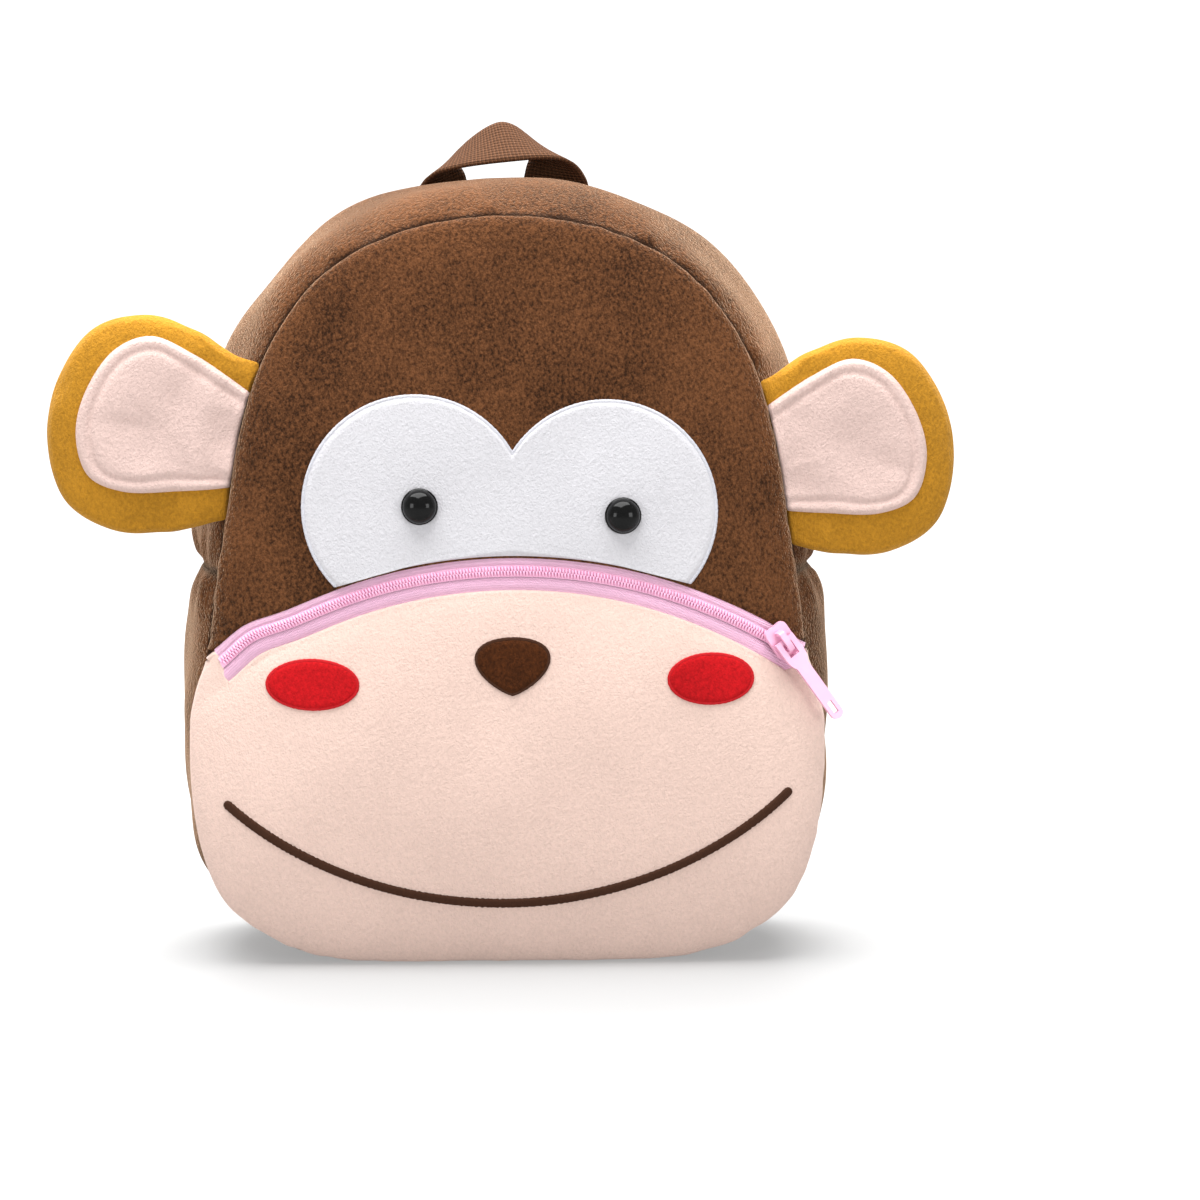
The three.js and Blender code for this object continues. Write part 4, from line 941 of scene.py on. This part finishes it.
def clip_to_seam(middle, reach, clear):
    """Shortens an ear outline where it would run past the front seam of the bag."""
    x, z = spoke(middle, np.linspace(0, 1, 400)[:, None] * reach, ear_turn)
    outside = from_middle(x, z) > front_reach(bearing(x, z)) + clear
    return reach * np.where(outside.all(axis=0), 1, np.argmin(outside, axis=0) / 400)


def plump(piece, sewn, push, most):
    """Fills a cover: it is blown up from inside as a cloth, held by its seams, and moves a little at most."""
    blow_up(piece, sewn, push, most)
    rounding = piece.modifiers.new("soft_pile", "SUBSURF")
    rounding.levels = rounding.render_levels = 1


def blow_up(piece, sewn, push, most):
    mesh = piece.data
    start = np.empty(len(mesh.vertices) * 3, np.float32)
    mesh.vertices.foreach_get("co", start)
    group = piece.vertex_groups.new(name="sewn")
    for weight in (1.0, 0.5):
        group.add(np.flatnonzero(sewn.ravel() == weight).tolist(), weight, "REPLACE")
    filling = piece.modifiers.new("filling", "CLOTH")
    cloth = filling.settings
    cloth.quality = 6
    cloth.mass = 0.0006
    cloth.tension_stiffness = cloth.compression_stiffness = 6
    cloth.shear_stiffness = 3
    cloth.bending_stiffness = 0.02
    cloth.use_pressure = True
    cloth.uniform_pressure_force = push
    cloth.vertex_group_mass = "sewn"
    cloth.shrink_min = -0.035
    cloth.effector_weights.gravity = 0
    filling.collision_settings.use_collision = False
    filling.point_cache.frame_start = 1
    filling.point_cache.frame_end = FILL_FRAMES
    for step in range(FILL_FRAMES):
        bpy.context.scene.frame_set(step + 1)
    filled = piece.evaluated_get(bpy.context.evaluated_depsgraph_get())
    after = np.empty_like(start)
    filled.data.vertices.foreach_get("co", after)
    shift = (after - start).reshape(-1, 3)
    length = np.maximum(np.linalg.norm(shift, axis=1, keepdims=True), 1e-9)
    shift *= most * 0.001 * np.tanh(length / (most * 0.001)) / length
    shift = shift.reshape(*sewn.shape, 3)
    for _ in range(3):
        shift = (2 * shift + np.roll(shift, 1, axis=1) + np.roll(shift, -1, axis=1)) / 4
        shift[1:-1] = (2 * shift[1:-1] + shift[2:] + shift[:-2]) / 4
    piece.modifiers.remove(filling)
    piece.vertex_groups.remove(group)
    mesh.vertices.foreach_set("co", start + shift.ravel())
    mesh.update()
    bpy.context.scene.frame_set(1)


for name, side, lift, push in (("left", -1, 3.0, 0.0), ("right", 1, -5.0, -2.8)):
    middle = EAR_MIDDLE + [push, lift]
    full = ear_reach(ear_turn)
    reach = clip_to_seam(middle, full, 0.8)
    shares = np.concatenate([np.linspace(0.02, 0.82, 15), np.linspace(0.86, 1, 8)])
    layers, held = [], []
    for way, share in [(-1, s) for s in shares] + [(1, s) for s in shares[::-1]]:
        x, z = spoke(middle, share * reach, ear_turn)
        beyond = np.maximum(0, x - seam_half(z))
        puff = EAR_PUFF * np.maximum(0, 1 - np.minimum(share * reach / full, 1) ** 3) ** 0.55
        half = (EAR_EDGE + puff) * (0.36 + 0.64 * ease(0, EAR_NECK, beyond))
        half = half * math.sqrt(max(0.04, 1 - max(0.0, share - 0.95) / 0.05))
        y = face_seam_y(z) - 0.8 + 0.08 * beyond + way * half
        layers.append(np.stack([side * x, y, z], -1))
        held.append(np.where(beyond < 3.5, 1.0, np.where(share > 0.99, 0.5, 0.0)))
    ear_ends = {"around": True, "flip": side > 0, "shut": ("first", "last")}
    ear = sewn_mesh(f"ear_{name}_plush", np.array(layers), mustard_plush, "mustard_plush", **ear_ends)
    plump(ear, np.array(held), 6.0, 2.0)
    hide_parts(f"ear_{name}")

    skin = BVHTree.FromPolygons([v.co for v in ear.data.vertices], [p.vertices[:] for p in ear.data.polygons])
    inner = clip_to_seam(middle, panel_reach(ear_turn), 1.1)
    fleece = []
    for share in np.concatenate([np.linspace(0.015, 0.78, 22), np.linspace(0.795, 1, 24)]):
        x, z = spoke(middle, share * inner, ear_turn)
        inside = panel_reach(ear_turn) - share * inner
        stitch = PANEL_STITCH * fading(inside - PANEL_STITCH_IN, 1.2)
        roll = PANEL_ROLL * np.sqrt(ease(0, 1.7, inside)) - stitch
        from_seam = np.maximum(0, x - seam_half(z))
        folds = np.sin((z - middle[1]) / 4.2 + 0.8 * side) * fading(from_seam, 14)
        dents = (0.4 * ripple(x, z, 24, 85 + side) + 0.7 * folds) * ease(5, 12, inside)
        row = []
        for px, pz, proud in zip(side * x, z, roll + dents):
            hit = skin.ray_cast(Vector((px * 0.001, -0.2, pz * 0.001)), Vector((0, 1, 0)))[0]
            row.append((px, (hit.y * 1000 if hit else face_seam_y(pz) - 3) - 0.35 - proud, pz))
        fleece.append(row)
    fleece.append([(x, y + 1.2, z) for x, y, z in fleece[-1]])
    panel_ends = {"around": True, "flip": side < 0, "shut": ("first",)}
    panel = sewn_mesh(f"ear_panel_{name}_plush", np.array(fleece), blush_plush, "blush_plush", **panel_ends)
    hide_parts(f"ear_panel_{name}")

# Grab loop
# A short length of dark brown ribbed webbing, bent over and sewn by both ends into the top of the back seam.
# Its front edge lies low and its rear edge stands up.
webbing_brown = woven(
    "webbing_brown", (0.115, 0.049, 0.022), 1.15, 1.7, depth=0.0005, deep=0.3, rough=0.9, sheen=0.1
)
LOOP_FRONT = [
    (-30, 39.6, 248.3), (-28.5, 32, 256.2), (-21, 24, 262), (0, 19.6, 265.4),
    (20, 24, 266), (28.5, 34, 259), (30, 39.6, 248.3),
]
LOOP_REAR = [
    (-11, 39.6, 251.9), (-13, 40.2, 260), (-15.5, 41, 268), (-1, 41.5, 278.2),
    (10, 41, 271.6), (8, 40.2, 262), (5.5, 39.6, 251.9),
]


def open_curve(points, count):
    """An evenly stepped open curve through a few points in space."""
    p = np.array(points, float)
    p = np.vstack([2 * p[0] - p[1], p, 2 * p[-1] - p[-2]])
    fine = []
    for k in range(1, len(p) - 2):
        t = np.linspace(0, 1, 30, endpoint=False)[:, None]
        a, b, c, d = p[k - 1 : k + 3]
        square, cube = 2 * a - 5 * b + 4 * c - d, 3 * b - a - 3 * c + d
        fine.append(0.5 * (2 * b + (c - a) * t + square * t**2 + cube * t**3))
    return even_steps(np.vstack([*fine, p[-2:-1]]), count)


WEBBING_WIDE = 25.0


def ribbon(name, front, rear, thick):
    """Webbing between two edge lines: both faces and its rounded selvedges, with its weave laid out flat."""
    across = np.linspace(0, 1, 13)
    middle = front[None] + (rear - front)[None] * across[:, None, None]
    square = np.cross(np.gradient(middle, axis=1), (rear - front)[None])
    square /= np.maximum(np.linalg.norm(square, axis=2, keepdims=True), 1e-9)
    ridge = thick / 2 * (1 - 0.35 * np.abs(2 * across - 1) ** 8)[:, None, None]
    band = np.concatenate([middle + square * ridge, (middle - square * ridge)[::-1]]).transpose(1, 0, 2)
    over = np.concatenate([across, across[::-1]]) * WEBBING_WIDE
    flat = np.stack(np.meshgrid(distance_along(middle[6]), over, indexing="ij")[::-1], -1)
    return sewn_mesh(name, band, webbing_brown, "webbing", around=True, uv=flat, shut=("first", "last"))


loop_edges = [open_curve(edge, 120) for edge in (LOOP_FRONT, LOOP_REAR)]
grab = ribbon("grab_loop_webbing", *loop_edges, 1.6)
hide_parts("grab_loop")

# Shoulder straps
# Padded straps of mustard plush over foam, sewn into the top back seam side by side and bowed off the back.
# Each has a sunk line of stitches along one side, and narrows at its lower end to the short webbing that holds
# the buckle.
STRAP = [
    (246, 24.6, 20, 3.4, 0.4), (241.5, 24.8, 23.6, 4.4, 0.5), (229.5, 25.6, 24, 8, 1.6),
    (200, 28, 24, 11, 9), (160, 31.6, 24, 11.5, 14.5), (119, 35.4, 24, 11.5, 14),
    (88, 39, 23.6, 11, 10), (72, 41.8, 21.2, 9.6, 8.4), (64, 43.6, 17.4, 8, 8), (58, 43, 12.6, 5.5, 8.6),
]
STRAP_HELD_ABOVE, STRAP_HELD_BELOW, SIDE_SEAM, SIDE_SEAM_DEEP = 240, 60.5, 0.6, 0.8
strap_rows = open_curve(STRAP, 130)
strap_turn = np.linspace(0, 2 * math.pi, 60, endpoint=False)


def full_side(v, power):
    return np.sign(v) * np.abs(v) ** power


for name, side in (("left", -1), ("right", 1)):
    rings, held = [], []
    for height, outward, half, thick, clear in strap_rows:
        x = side * outward
        behind = max(float(back_y(x + a * half, height)) for a in (-1.0, 0.0, 1.0))
        across = half * full_side(np.cos(strap_turn), 0.62)
        deep = thick / 2 * full_side(np.sin(strap_turn), 0.7)
        y = behind + clear + thick / 2 + deep
        rings.append(np.stack([x + across, y, np.full_like(across, height)], -1))
        sewn_down = height > STRAP_HELD_ABOVE or height < STRAP_HELD_BELOW
        held.append(np.full(len(strap_turn), float(sewn_down)))
    grid = np.array(rings)
    length = np.linspace(0, 190, len(grid))[:, None]
    edge = fading(np.sin(strap_turn), 0.45)[None]
    crumple = 0.3 * ripple(length, strap_turn[None] * 16, 30, 101 + side)
    side_seam = np.zeros(grid.shape[:2])
    side_seam[:, np.argmin(np.abs(strap_turn - (math.pi - SIDE_SEAM if side > 0 else SIDE_SEAM)))] = 1
    puckers = 0.15 * edge * ripple(length, 0 * edge, 14, 105 + side)
    grid = lift_off(grid, crumple - 0.35 * edge + puckers - SIDE_SEAM_DEEP * side_seam, around=True)
    # Painted shade along the sunk stitch line, at six tenths of full.
    strap_ends = {"around": True, "shut": ("first", "last"), "seam_shade": 0.6 * side_seam}
    strap = sewn_mesh(f"strap_{name}_pad", grid, mustard_plush, "mustard_plush", **strap_ends)
    plump(strap, np.array(held), 5.0, 1.6)
    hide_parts(f"strap_{name}")

# Buckles and lower webbing
# Black moulded ladder-locks hang from a short tab of webbing. The lower webbing comes up from the base seam,
# goes over the second bar and hangs down behind the lip, with its end folded over into a hem.
buckle_black, tree = node_material("buckle_black", Roughness=0.34, Specular_IOR_Level=0.25)
spark = grain(tree, 1400)
tint(tree, spark, (0.010, 0.009, 0.008), (0.022, 0.020, 0.018))
relief(tree, spark, 0.12, 0.0001)
BUCKLE_Y, BUCKLE_X, TAPE_HALF = 54.5, 43.0, 12.4
inside, outside, behind = BUCKLE_Y - 2.5, BUCKLE_Y + 2.5, BUCKLE_Y - 4.2
tab_route = [
    (inside, 61.0), (inside, 54), (inside, 45.8), (BUCKLE_Y, 44.4), (outside, 42.2), (outside + 0.1, 40),
    (outside, 37.8), (BUCKLE_Y, 36.6), (inside, 37.2), (inside, 41),
]
lower_route = [
    (43.5, 6.2), (46.6, 9), (behind, 20), (behind, 26), (behind, 31.6), (BUCKLE_Y - 1, 33.2), (outside, 32.0),
    (outside + 0.1, 30), (outside, 27.6), (BUCKLE_Y, 26.2), (inside, 24.6), (inside, 19), (inside, 13),
    (inside + 2.4, 4.4), (inside + 8, 1.5), (inside + 9.1, 2.2), (inside + 8, 3.0), (inside + 4.4, 5.0),
]
for name, side in (("left", -1), ("right", 1)):
    finish_moulding(f"buckle_{name}", buckle_black, 0.0008)
    for part, route, node in (
        ("tab", tab_route, f"strap_tab_{name}"),
        ("lower_webbing", lower_route, f"strap_webbing_{name}"),
    ):
        line = open_curve([(0, y, z) for y, z in route], 150)
        edges = [line + np.array([side * BUCKLE_X + half, 0, 0]) for half in (-TAPE_HALF, TAPE_HALF)]
        strip = ribbon(f"strap_{name}_{part}", *edges, 1.3)
        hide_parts(node)
